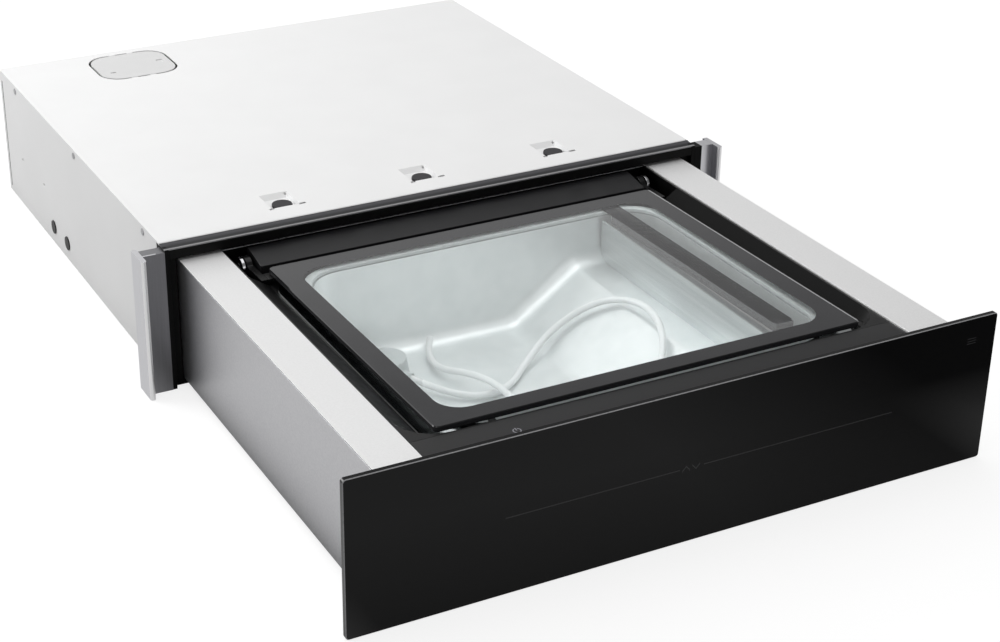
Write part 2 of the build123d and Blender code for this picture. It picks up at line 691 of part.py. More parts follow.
def drawer_wall():
    y0, y1 = behind(PANEL_DEPTH), behind(DRAWER_LENGTH)
    wall = block(HALF_DRAWER - SHEET, HALF_DRAWER, y0, y1, DRAWER_BOTTOM, STRIP_UNDER)
    flange = block(HALF_DRAWER - WALL_FLANGE, HALF_DRAWER - SHEET, y0, y1, DRAWER_BOTTOM, FLOOR_TOP)
    return wall + flange


def side_strip():
    y0, y1 = behind(PANEL_DEPTH), behind(DRAWER_LENGTH)
    strip = block(HALF_WELL, HALF_DRAWER, y0, y1, STRIP_UNDER, DRAWER_TOP)
    inner = block(HALF_WELL, HALF_WELL + SHEET, y0, y1 - SHEET, DRAWER_BOTTOM, STRIP_UNDER)
    return strip + inner


def drawer_base():
    return block(-HALF_WELL, HALF_WELL, behind(PANEL_DEPTH), behind(DRAWER_LENGTH) - SHEET,
                 DRAWER_BOTTOM, FLOOR_TOP)


def drawer_rear_wall():
    y1 = behind(DRAWER_LENGTH)
    wall = block(-HALF_DRAWER + SHEET, HALF_DRAWER - SHEET, y1 - SHEET, y1, DRAWER_BOTTOM, STRIP_UNDER)
    notch = block(HALF_WELL + 2 * SHEET, HALF_DRAWER - SHEET, y1 - 2 * SHEET, y1 + SHEET,
                  DRAWER_BOTTOM - SHEET, SLIDE_CENTRE + SLIDE_HEIGHT / 2 + SHEET)
    vent = rod_y(FAN_X, y1 - 2 * SHEET, y1 + SHEET, FAN_LEVEL, FAN_SIZE / 2 - FAN_SPOKE)
    return wall - notch - mirrored(notch) - vent


def rear_cover():
    return block(-HALF_WELL, HALF_WELL, behind(WELL_REAR), behind(DRAWER_LENGTH) - SHEET,
                 WELL_RIM - SHEET, WELL_RIM)


def well_moulding():
    """Frame that carries the chamber's flange, with sloped sides and the hinge's trough behind."""
    y0, y1 = behind(CONTROL_REAR), behind(WELL_REAR)
    trough_front = behind(CHAMBER_FRONT + CHAMBER_DEPTH + FLANGE_REAR + TROUGH_MARGIN)
    body = block(-HALF_WELL, HALF_WELL, y0, y1, LEDGE - WELL_THICKNESS, WELL_RIM)
    ledge_x = CHAMBER_WIDTH / 2 + FLANGE_SIDE + SHEET
    ledge_y0 = behind(CHAMBER_FRONT - FLANGE_FRONT) - SHEET
    bottom = Pos(0, (ledge_y0 + y1) / 2, LEDGE) * RectangleRounded(
        2 * ledge_x, y1 - ledge_y0, CHAMBER_CORNER - FLANGE_REAR)
    rim_x = HALF_WELL - WELL_SLOPE_TOP
    rim_y0 = y0 + SHEET
    top = Pos(0, (rim_y0 + y1) / 2, WELL_RIM) * RectangleRounded(2 * rim_x, y1 - rim_y0, CHAMBER_CORNER)
    slopes = loft([bottom.face(), top.face()], ruled=True)
    body -= slopes & block(-HALF_WELL, HALF_WELL, y0, trough_front, LEDGE, WELL_RIM)
    body += block(-HALF_WELL, HALF_WELL, trough_front - WELL_THICKNESS, y1,
                  TROUGH_FLOOR - WELL_THICKNESS, LEDGE)
    body -= block(-rim_x, rim_x, trough_front, y1 - WELL_REAR_WALL, TROUGH_FLOOR, WELL_RIM + SHEET)
    half_x = CHAMBER_WIDTH / 2 + CHAMBER_WALL + SHEET
    opening = rounded_block(-half_x, half_x, behind(CHAMBER_FRONT) - CHAMBER_WALL - SHEET,
                            behind(CHAMBER_FRONT + CHAMBER_DEPTH) + CHAMBER_WALL + SHEET,
                            TROUGH_FLOOR - 2 * WELL_THICKNESS, LEDGE + SHEET, CHAMBER_CORNER)
    return body - opening - lid_switch()


def chamber_cavity(grow):
    """Space inside the chamber, or its outside when grown by the wall."""
    half_x = CHAMBER_WIDTH / 2 + grow
    y0 = behind(CHAMBER_FRONT) - grow
    y1 = behind(CHAMBER_FRONT + CHAMBER_DEPTH) + grow
    top = FLANGE_TOP
    floor = CHAMBER_FLOOR - grow
    plan = Pos(0, (y0 + y1) / 2, top) * RectangleRounded(2 * half_x, y1 - y0, CHAMBER_CORNER + grow)
    pocket = extrude(plan, top - floor, dir=(0, 0, -1), taper=CHAMBER_TAPER)
    rise = SHELF_LEVEL - CHAMBER_FLOOR
    shift = grow * math.tan(math.atan2(rise, SHELF_START - RAMP_FOOT) / 2)
    shelf = SHELF_LEVEL - grow
    foot_x = RAMP_FOOT + shift
    shelf_x = SHELF_START + shift
    beyond = half_x + CHAMBER_FILLET
    below = floor - rise
    outline = Polyline([(foot_x - rise, y0, floor), (foot_x, y0, floor), (shelf_x, y0, shelf),
                        (beyond, y0, shelf), (beyond, y0, below), (foot_x - rise, y0, below)], close=True)
    face = make_face(outline)
    foot_corner = face.vertices().sort_by_distance((foot_x, y0, floor))[0]
    face = fillet(foot_corner, RAMP_FOOT_RADIUS + grow)
    shelf_corner = face.vertices().sort_by_distance((shelf_x, y0, shelf))[0]
    face = fillet(shelf_corner, SHELF_EDGE_RADIUS - grow)
    wedge = extrude(face, y1 - y0, dir=(0, 1, 0))
    cavity = pocket - wedge
    return round_foot(cavity, CHAMBER_FILLET + grow)


def round_foot(cavity, radius):
    """Fillet where the chamber's walls meet its floor, ramp and shelf."""
    box = cavity.bounding_box()
    inset = (FLANGE_TOP - CHAMBER_FLOOR) * math.tan(math.radians(CHAMBER_TAPER)) + SHEET
    edges = []
    for edge in cavity.edges():
        middle = edge.position_at(0.5)
        low = middle.Z < SHELF_LEVEL + SHEET
        near_side = min(middle.X - box.min.X, box.max.X - middle.X) < inset
        near_end = min(middle.Y - box.min.Y, box.max.Y - middle.Y) < inset
        tangent = edge.tangent_at(0.5)
        across_ramp = abs(tangent.Y) > 0.99 and not near_side
        corner = edge_is_corner(edge)
        if low and (near_side or near_end) and not across_ramp and not corner:
            edges.append(edge)
    return fillet(edges, radius)


def edge_is_corner(edge):
    """True for the steep seams in the chamber's rounded corners."""
    ends = edge.position_at(0), edge.position_at(1)
    rise = abs(ends[1].Z - ends[0].Z)
    return rise > 0.9 * edge.length


def sleeve_places():
    middle = behind(BAR_FRONT + BAR_LENGTH / 2)
    return [middle - LIFT_ROD_SPACING / 2, middle + LIFT_ROD_SPACING / 2]


def chamber_tub():
    y0 = behind(CHAMBER_FRONT - FLANGE_FRONT)
    y1 = behind(CHAMBER_FRONT + CHAMBER_DEPTH + FLANGE_REAR)
    half = CHAMBER_WIDTH / 2 + FLANGE_SIDE
    flange = rounded_block(-half, half, y0, y1, LEDGE, FLANGE_TOP, CHAMBER_CORNER - FLANGE_REAR - SHEET)
    tub = flange + chamber_cavity(CHAMBER_WALL) - chamber_cavity(0)
    for y in sleeve_places():
        tub -= rod_z(LIFTER_X, y, SHELF_LEVEL - 2 * CHAMBER_WALL, SHELF_LEVEL + CHAMBER_WALL, SLEEVE_RADIUS)
    port_y = behind(ADAPTER_BEHIND)
    return tub - rod_z(ADAPTER_X, port_y, CHAMBER_FLOOR - 2 * CHAMBER_WALL, CHAMBER_FLOOR + CHAMBER_WALL,
                       PORT_RADIUS)


def chamber_seal():
    inner = SEAL_OFFSET - SEAL_WIDTH / 2
    outer = SEAL_OFFSET + SEAL_WIDTH / 2
    rings = []
    for offset in (inner, outer):
        half = CHAMBER_WIDTH / 2 + offset
        rings.append(rounded_block(-half, half, behind(CHAMBER_FRONT) - offset,
                                   behind(CHAMBER_FRONT + CHAMBER_DEPTH) + offset,
                                   FLANGE_TOP, FLANGE_TOP + SEAL_HEIGHT, CHAMBER_CORNER + offset))
    return rings[1] - rings[0]


def sealing_carrier():
    """Channel on the shelf that screens the seal bar's lifters."""
    x0, x1 = BAR_X - CARRIER_WIDTH / 2, BAR_X + CARRIER_WIDTH / 2
    y0 = behind(BAR_FRONT - CARRIER_END_MARGIN)
    y1 = behind(BAR_FRONT + BAR_LENGTH + CARRIER_END_MARGIN)
    top = LID_UNDER - CARRIER_TOP_GAP
    channel = block(x0, x1, y0, y1, SHELF_LEVEL, top)
    channel -= block(x0 + CHAMBER_WALL, x1 - CHAMBER_WALL, y0 - SHEET, y1 + SHEET,
                     SHELF_LEVEL + CHAMBER_WALL, top + SHEET)
    channel &= chamber_cavity(-CARRIER_CLEARANCE)
    inset = (FLANGE_TOP - SHELF_LEVEL) * math.tan(math.radians(CHAMBER_TAPER)) + CHAMBER_FILLET
    end_inset = inset + CARRIER_SEAT_MARGIN
    seat_x1 = min(x1, CHAMBER_WIDTH / 2 - inset)
    channel += block(x0, seat_x1, behind(CHAMBER_FRONT + end_inset),
                     behind(CHAMBER_FRONT + CHAMBER_DEPTH - end_inset), SHELF_LEVEL, SHELF_LEVEL + CHAMBER_WALL)
    for y in sleeve_places():
        channel -= rod_z(LIFTER_X, y, SHELF_LEVEL - SHEET, SHELF_LEVEL + 2 * CHAMBER_WALL, SLEEVE_RADIUS)
    return channel


def sealing_sleeves():
    sleeves = []
    top = SHELF_LEVEL + 2 * CHAMBER_WALL
    under = SHELF_LEVEL - CHAMBER_WALL
    for y in sleeve_places():
        neck = rod_z(LIFTER_X, y, top - SLEEVE_LENGTH, top, SLEEVE_RADIUS)
        collar = rod_z(LIFTER_X, y, under - SLEEVE_COLLAR, under, SLEEVE_RADIUS + SLEEVE_COLLAR)
        bore = rod_z(LIFTER_X, y, top - 2 * SLEEVE_LENGTH, top + SLEEVE_LENGTH,
                     LIFT_ROD_RADIUS + RUNNING_CLEARANCE)
        sleeves.append(neck + collar - bore)
    return sleeves


def sealing_bar():
    x0, x1 = BAR_X - BAR_WIDTH / 2, BAR_X + BAR_WIDTH / 2
    y0, y1 = behind(BAR_FRONT), behind(BAR_FRONT + BAR_LENGTH)
    under = BAR_TOP - BAR_HEIGHT
    bar = block(x0, x1, y0, y1, under, BAR_TOP - HEATER_THICKNESS)
    strip = block(BAR_X - HEATER_WIDTH / 2, BAR_X + HEATER_WIDTH / 2, y0 + SHEET, y1 - SHEET,
                  BAR_TOP - HEATER_THICKNESS, BAR_TOP)
    return bar, strip


def yoke_level():
    sleeve_foot = SHELF_LEVEL + 2 * CHAMBER_WALL - SLEEVE_LENGTH
    return sleeve_foot - BAR_LIFT - YOKE_HEIGHT - SHEET


def lift_yoke():
    """Rods, cross strip and piston that raise the seal bar."""
    base = yoke_level()
    front, rear = sleeve_places()
    width = BAR_WIDTH / 2
    yoke = block(LIFTER_X - width, LIFTER_X + width, front - width, rear + width, base, base + YOKE_HEIGHT)
    for y in (front, rear):
        yoke += rod_z(LIFTER_X, y, base + YOKE_HEIGHT, BAR_TOP - BAR_HEIGHT, LIFT_ROD_RADIUS)
    piston_foot = FLOOR_TOP + 2 * SHEET
    return yoke + rod_z(LIFTER_X, (front + rear) / 2, piston_foot, base, LIFT_PISTON_RADIUS)


def lift_cylinder():
    middle = sum(sleeve_places()) / 2
    top = yoke_level() - SHEET
    body = rod_z(LIFTER_X, middle, FLOOR_TOP, top, LIFT_CYLINDER_RADIUS)
    bore = rod_z(LIFTER_X, middle, FLOOR_TOP + SHEET, top + SHEET, LIFT_PISTON_RADIUS + RUNNING_CLEARANCE)
    return body - bore


def suction_port():
    y = behind(ADAPTER_BEHIND)
    under = CHAMBER_FLOOR - CHAMBER_WALL
    foot = FLOOR_TOP + PORT_UNDER_CLEARANCE
    mouth = CHAMBER_FLOOR + PORT_ABOVE_FLOOR
    stem = rod_z(ADAPTER_X, y, foot, mouth, PORT_RADIUS)
    nut = rod_z(ADAPTER_X, y, under - PORT_NUT, under, PORT_RADIUS + PORT_NUT_MARGIN)
    return stem + nut - rod_z(ADAPTER_X, y, foot - SHEET, mouth + SHEET, PORT_BORE)


def hose_adapter():
    """Soft cup over the suction port, with a spigot for the hose."""
    y = behind(ADAPTER_BEHIND)
    base = CHAMBER_FLOOR + ADAPTER_LIFT
    foot = Pos(ADAPTER_X, y, base) * Circle(ADAPTER_RADIUS)
    roof = Pos(ADAPTER_X, y, base + ADAPTER_HEIGHT) * Circle(ADAPTER_RADIUS - ADAPTER_TAPER)
    cup = loft([foot.face(), roof.face()], ruled=True)
    cup -= rod_z(ADAPTER_X, y, base - SHEET, base + ADAPTER_HEIGHT - ADAPTER_ROOF, PORT_RADIUS + ADAPTER_PLAY)
    start, second = hose_points()[:2]
    direction = (second - start).normalized()
    plane = Plane(origin=start - direction * SPIGOT_LENGTH, z_dir=direction)
    return cup + extrude(plane * Circle(HOSE_DIAMETER / 2 + SPIGOT_WALL), SPIGOT_LENGTH)


def hose_points():
    """Route of the hose as it lies in the chamber: (right of middle, behind the front, above the base)."""
    route = [
        (-105, 274, 36), (-91, 249, 33), (-66, 226, 31), (-34, 228, 31), (2, 263, 31), (44, 290, 44),
        (82, 275, 70), (102, 241, 80), (98, 197, 80), (77, 158, 66), (38, 127, 41), (-8, 125, 31),
        (-36, 158, 31), (-43, 196, 35), (-49, 226, 41), (-60, 252, 41), (-74, 283, 33), (-70, 314, 32),
        (-57, 334, 36),
    ]
    return [Vector(x, behind(y), z) for x, y, z in route]


def vacuum_hose():
    points = hose_points()
    radii = []
    for before, point, after in zip(points, points[1:], points[2:]):
        run_in, run_out = point - before, after - point
        turn = math.radians(run_in.get_angle(run_out))
        shorter = min(run_in.length, run_out.length)
        radii.append(0.45 * shorter / math.tan(turn / 2))
    path = FilletPolyline(*points, radius=radii)
    start = Plane(origin=path @ 0, z_dir=path % 0)
    tube = sweep(start * Circle(HOSE_DIAMETER / 2), path)
    bore = sweep(start * Circle(HOSE_BORE / 2), path)
    hose = tube - bore
    section = math.pi * (HOSE_DIAMETER ** 2 - HOSE_BORE ** 2) / 4
    print("hose radii", [round(radius, 1) for radius in radii])
    print("hose length", round(path.length, 1), "volume ratio", round(hose.volume / (section * path.length), 4))
    return hose


def ajar(shape):
    """A piece of the lid as it stands at rest, unlatched and a little open."""
    hinge = Axis((0, behind(HINGE_BEHIND), HINGE_LEVEL), (1, 0, 0))
    return shape.rotate(hinge, -LID_AJAR)


def lid_glass():
    y0 = behind(LID_FRONT)
    lid = rounded_block(-LID_WIDTH / 2, LID_WIDTH / 2, y0, y0 + LID_DEPTH, LID_UNDER, LID_TOP, LID_CORNER)
    top_edges = lid.faces().sort_by(Axis.Z)[-1].edges()
    return ajar(fillet(top_edges, LID_ARRIS))


def lid_rail():
    y1 = behind(LID_FRONT + LID_DEPTH)
    return ajar(block(-ARM_INNER, ARM_INNER, y1 - RAIL_DEPTH, y1, LID_UNDER - RAIL_HEIGHT, LID_UNDER))


def hinge_arm():
    hinge_y = behind(HINGE_BEHIND)
    front = behind(LID_FRONT + LID_DEPTH) - RAIL_DEPTH
    arm = block(ARM_INNER, ARM_OUTER, front, hinge_y, LID_UNDER - HINGE_ARM_HEIGHT, LID_UNDER)
    arm += rod_x(ARM_INNER, ARM_OUTER, hinge_y, HINGE_LEVEL, HINGE_LUG_RADIUS)
    arm -= rod_x(ARM_INNER - SHEET, ARM_OUTER + SHEET, hinge_y, HINGE_LEVEL,
                 HINGE_PIN_RADIUS + RUNNING_CLEARANCE)
    return ajar(arm)


def hinge_brackets():
    hinge_y = behind(HINGE_BEHIND)
    outer = BRACKET_INNER + HINGE_BRACKET_THICKNESS
    cheek = block(BRACKET_INNER, outer, hinge_y - HINGE_LUG_RADIUS, hinge_y + HINGE_LUG_RADIUS,
                  TROUGH_FLOOR, HINGE_LEVEL)
    cheek += rod_x(BRACKET_INNER, outer, hinge_y, HINGE_LEVEL, HINGE_LUG_RADIUS)
    cheek -= rod_x(BRACKET_INNER - SHEET, outer + SHEET, hinge_y, HINGE_LEVEL, HINGE_PIN_RADIUS)
    return [cheek, mirrored(cheek)]


def hinge_pins():
    hinge_y = behind(HINGE_BEHIND)
    outer = BRACKET_INNER + HINGE_BRACKET_THICKNESS
    pin = rod_x(ARM_INNER - SHEET, outer, hinge_y, HINGE_LEVEL, HINGE_PIN_RADIUS)
    pin += rod_x(outer, outer + PIN_HEAD_THICKNESS, hinge_y, HINGE_LEVEL, PIN_HEAD_RADIUS)
    return [pin, mirrored(pin)]


def hinge_cover():
    """Fixed cover between the hinge's arms, over the trough."""
    y0 = behind(LID_FRONT + LID_DEPTH + COVER_FRONT_GAP)
    y1 = y0 + COVER_DEPTH
    top = WELL_RIM + COVER_ABOVE_RIM
    nose, bend = top - COVER_FRONT_DROP, top - COVER_FALL
    half = ARM_INNER - COVER_END_GAP
    outside = [(y0, TROUGH_FLOOR), (y0, nose), (y0 + COVER_SLOPE, bend), (y1, top), (y1, TROUGH_FLOOR)]
    under = TROUGH_FLOOR - SHEET
    inner_y0, inner_y1 = y0 + COVER_SHEET, y1 - COVER_SHEET
    inside = [(inner_y0, under), (inner_y0, nose - COVER_SHEET), (y0 + COVER_SLOPE, bend - COVER_SHEET),
              (inner_y1, top - COVER_SHEET), (inner_y1, under)]
    return along_x(outside, -half, half) - along_x(inside, -half + COVER_SHEET, half - COVER_SHEET)


def lid_switch():
    x = LID_WIDTH / 2 + SWITCH_BESIDE_LID + SWITCH_WIDTH / 2
    y = behind(LID_FRONT + SWITCH_BEHIND_CORNER) + SWITCH_LENGTH / 2
    height = LID_UNDER + SWITCH_ABOVE_GLASS - LEDGE
    return box_at(x, y, LEDGE, SWITCH_WIDTH, SWITCH_LENGTH, height)


def counter_bar():
    x0, x1 = BAR_X - COUNTER_WIDTH / 2, BAR_X + COUNTER_WIDTH / 2
    return ajar(block(x0, x1, behind(BAR_FRONT), behind(BAR_FRONT + BAR_LENGTH), COUNTER_UNDER, LID_UNDER))


def vacuum_pump():
    y = behind(COMPARTMENT_BEHIND)
    x0, x1 = PUMP_X, PUMP_X + PUMP_LENGTH
    margin = PUMP_PLATE_MARGIN
    half = PUMP_WIDTH / 2
    foot = PUMP_BASE + PUMP_PLATE
    top = foot + PUMP_HEIGHT
    pump = block(x0 - margin, x1 + MOTOR_LENGTH, y - half - margin, y + half + margin, PUMP_BASE, foot)
    pump += block(x0, x1, y - half, y + half, foot, top)
    middle = (x0 + x1) / 2
    first = middle - PUMP_FIN_PITCH * (PUMP_FIN_COUNT - 1) / 2
    for number in range(PUMP_FIN_COUNT):
        x = first + PUMP_FIN_PITCH * number
        pump += box_at(x, y, foot + PUMP_FIN_FOOT, PUMP_FIN_WIDTH, PUMP_WIDTH + 2 * PUMP_FIN_DEPTH,
                       PUMP_FIN_HEIGHT)
    for x in (middle - PUMP_CAP_SPACING / 2, middle + PUMP_CAP_SPACING / 2):
        pump += rod_z(x, y, top, top + PUMP_CAP_HEIGHT, PUMP_CAP_RADIUS)
    return pump - rod_x(x1 - SHAFT_IN_PUMP - SHAFT_END_GAP, x1 + SHEET, y, SHAFT_LEVEL,
                        SHAFT_RADIUS + RUNNING_CLEARANCE)


def pump_feet():
    y = behind(COMPARTMENT_BEHIND)
    spread = PUMP_WIDTH / 2 - PUMP_FOOT_RADIUS
    feet = []
    for x in (PUMP_X + PUMP_FOOT_INSET, PUMP_X + PUMP_LENGTH + MOTOR_LENGTH - PUMP_FOOT_INSET):
        for foot_y in (y - spread, y + spread):
            feet.append(rod_z(x, foot_y, FLOOR_TOP, PUMP_BASE, PUMP_FOOT_RADIUS))
    return feet


def motor_ends():
    return PUMP_X + PUMP_LENGTH, PUMP_X + PUMP_LENGTH + MOTOR_LENGTH


def pump_motor():
    """Motor shell on a saddle, open inside for its rotor."""
    y = behind(COMPARTMENT_BEHIND)
    x0, x1 = motor_ends()
    half = MOTOR_SADDLE_WIDTH / 2
    shell = rod_x(x0, x1, y, SHAFT_LEVEL, MOTOR_RADIUS)
    shell += block(x0 + MOTOR_SADDLE_INSET, x1 - MOTOR_SADDLE_INSET, y - half, y + half,
                   PUMP_BASE + PUMP_PLATE, SHAFT_LEVEL)
    shell -= rod_x(x0 + MOTOR_WALL, x1 - MOTOR_WALL, y, SHAFT_LEVEL, MOTOR_RADIUS - MOTOR_WALL)
    return shell - rod_x(x0 - SHEET, x1 + SHEET, y, SHAFT_LEVEL, SHAFT_RADIUS + RUNNING_CLEARANCE)


def pump_rotor():
    """Shaft with the rotor's core and a bladed cooling wheel on its free end."""
    y = behind(COMPARTMENT_BEHIND)
    x0, x1 = motor_ends()
    disc = x1 + SHAFT_END_GAP
    face = disc + COOLING_WHEEL_DISC
    tip = face + COOLING_WHEEL_WIDTH
    inset = MOTOR_WALL + ROTOR_END_GAP
    rotor = rod_x(x0 - SHAFT_IN_PUMP, tip, y, SHAFT_LEVEL, SHAFT_RADIUS)
    rotor += rod_x(x0 + inset, x1 - inset, y, SHAFT_LEVEL, MOTOR_RADIUS - MOTOR_WALL - ROTOR_GAP)
    rotor += rod_x(disc, face, y, SHAFT_LEVEL, COOLING_WHEEL_RADIUS)
    rotor += rod_x(disc, tip, y, SHAFT_LEVEL, COOLING_WHEEL_HUB)
    inner, outer = COOLING_WHEEL_HUB - SHEET, COOLING_WHEEL_RADIUS - SHEET
    middle = Pos((face + tip) / 2, 0, (inner + outer) / 2)
    blade = middle * Box(COOLING_WHEEL_WIDTH, COOLING_BLADE, outer - inner)
    for number in range(COOLING_BLADES):
        rotor += Pos(0, y, SHAFT_LEVEL) * Rot(360 / COOLING_BLADES * number, 0, 0) * blade
    return rotor


def fan_ends():
    y1 = behind(DRAWER_LENGTH) - SHEET
    return y1 - FAN_DEPTH, y1


def fan_housing():
    """Square frame with a ring, spokes and axle, on two feet."""
    y0, y1 = fan_ends()
    half = FAN_SIZE / 2
    ring = half - FAN_RING_WALL
    frame = block(FAN_X - half, FAN_X + half, y0, y1, FAN_LEVEL - half, FAN_LEVEL + half)
    frame -= rod_y(FAN_X, y0 - SHEET, y1 + SHEET, FAN_LEVEL, ring)
    for angle in (45, 135):
        middle = Pos(FAN_X, y0 + FAN_SPOKE_DEPTH / 2, FAN_LEVEL)
        frame += middle * Rot(0, angle, 0) * Box(FAN_SIZE, FAN_SPOKE_DEPTH, FAN_SPOKE)
    frame += rod_y(FAN_X, y0, y0 + FAN_SPOKE_DEPTH, FAN_LEVEL, FAN_HUB_RADIUS - FAN_RING_WALL)
    frame += rod_y(FAN_X, y0, y1 - FAN_SPOKE_DEPTH, FAN_LEVEL, FAN_AXLE_RADIUS)
    for x in (FAN_X - half + FAN_FOOT_WIDTH, FAN_X + half - FAN_FOOT_WIDTH):
        frame += box_at(x, (y0 + y1) / 2, FLOOR_TOP, FAN_FOOT_WIDTH, FAN_DEPTH, FAN_ABOVE_FLOOR)
    return frame


def fan_wheel():
    y0, y1 = fan_ends()
    wheel = rod_y(FAN_X, y0 + FAN_SPOKE_DEPTH + FAN_END_GAP, y1 - FAN_RING_WALL, FAN_LEVEL, FAN_HUB_RADIUS)
    root = FAN_HUB_RADIUS - SHEET
    tip = FAN_SIZE / 2 - FAN_RING_WALL - FAN_TIP_GAP
    blade = Rot(FAN_BLADE_TILT, 0, 0) * Box(tip - root, FAN_BLADE, FAN_BLADE_CHORD)
    blade = Pos((root + tip) / 2, 0, 0) * blade
    centre = Pos(FAN_X, (y0 + FAN_SPOKE_DEPTH + y1) / 2, FAN_LEVEL)
    for number in range(FAN_BLADES):
        wheel += centre * Rot(0, 360 / FAN_BLADES * number, 0) * blade
    return wheel - rod_y(FAN_X, y0, y1, FAN_LEVEL, FAN_AXLE_RADIUS + RUNNING_CLEARANCE)


def transformer():
    y = behind(COMPARTMENT_BEHIND)
    core = box_at(TRANSFORMER_X, y, FLOOR_TOP, CORE_WIDTH, CORE_DEPTH, CORE_HEIGHT)
    return core + box_at(TRANSFORMER_X, y, FLOOR_TOP + (CORE_HEIGHT - COIL_HEIGHT) / 2,
                         COIL_WIDTH, COIL_DEPTH, COIL_HEIGHT)


def valve_block():
    """Block with two solenoid valves: one vents the chamber, one vents the lift cylinder."""
    y = behind(COMPARTMENT_BEHIND - VALVES_FORWARD)
    valves = box_at(VALVES_X, y, FLOOR_TOP, VALVES_WIDTH, VALVES_DEPTH, VALVES_HEIGHT)
    top = FLOOR_TOP + VALVES_HEIGHT
    for x in (VALVES_X - SOLENOID_SPACING / 2, VALVES_X + SOLENOID_SPACING / 2):
        valves += rod_z(x, y, top, top + SOLENOID_HEIGHT, SOLENOID_RADIUS)
    return valves


def power_board():
    """Upright board with two rows of parts on its rear side."""
    y = behind(COMPARTMENT_BEHIND + BOARD_BACK)
    board = box_at(BOARD_X, y, FLOOR_TOP, BOARD_WIDTH, BOARD_THICKNESS, BOARD_HEIGHT)
    part_y = y + BOARD_THICKNESS / 2 + BOARD_PART_DEPTH / 2
    for row in range(BOARD_PART_ROWS):
        level = FLOOR_TOP + BOARD_HEIGHT * (row + 0.5) / BOARD_PART_ROWS - BOARD_PART_SIZE / 2
        for x in (BOARD_X - BOARD_WIDTH / 4, BOARD_X + BOARD_WIDTH / 4):
            board += box_at(x, part_y, level, BOARD_PART_SIZE, BOARD_PART_DEPTH, BOARD_PART_SIZE)
    return board


def build():
    os.makedirs("parts", exist_ok=True)
    save("cabinet_base", cabinet_base())
    save_pair("cabinet_side", cabinet_side())
    save("cabinet_rear_panel", cabinet_rear_panel())
    save("cabinet_top_sheet", cabinet_top_sheet())
    save("cable_cover_plate", cable_cover_plate())
    save("top_buffers", *top_buffers())
    save("case_screws", *case_screws())
    save("side_plugs", *side_plugs())
    save("front_top_trim", front_top_trim())
    save_both("frame_posts", frame_post())
    save("frame_top_bar", frame_top_bar())
    save("frame_bottom_bar", frame_bottom_bar())
    save_pair("mounting_bracket", mounting_bracket())
    save_both("slides_outer", slide_outer())
    save_both("slides_middle", slide_middle())
    save_both("slides_inner", slide_inner())
    save("mains_gland", mains_gland())
    housing, plunger = push_latch()
    save("push_latch_housing", housing)
    save("push_latch_plunger", plunger)
    save("front_glass", front_glass())
    save("front_backing", front_backing())
    save("control_panel", control_panel())
    save("control_board", control_board())
    save_both("drawer_walls", drawer_wall())
    save_pair("side_strip", side_strip())
    save("drawer_base", drawer_base())
    save("drawer_rear_wall", drawer_rear_wall())
    save("rear_cover", rear_cover())
    save("well_moulding", well_moulding())
    save("chamber_tub", chamber_tub())
    save("chamber_seal", chamber_seal())
    save("sealing_carrier", sealing_carrier())
    save("sealing_sleeves", *sealing_sleeves())
    bar, strip = sealing_bar()
    save("sealing_bar", bar)
    save("heating_strip", strip)
    save("lift_yoke", lift_yoke())
    save("lift_cylinder", lift_cylinder())
    save("suction_port", suction_port())
    save("hose_adapter", hose_adapter())
    save("vacuum_hose", vacuum_hose())
    save("lid_glass", lid_glass())
    save("lid_rail", lid_rail())
    save_both("hinge_arms", hinge_arm())
    save("hinge_brackets", *hinge_brackets())
    save("hinge_pins", *hinge_pins())
    save("hinge_cover", hinge_cover())
    save("lid_switch", lid_switch())
    save("counter_bar", counter_bar())
    save("vacuum_pump", vacuum_pump())
    save("pump_motor", pump_motor())
    save("pump_rotor", pump_rotor())
    save("fan_housing", fan_housing())
    save("fan_wheel", fan_wheel())
    save("pump_feet", *pump_feet())
    save("transformer", transformer())
    save("valve_block", valve_block())
    save("power_board", power_board())


build()
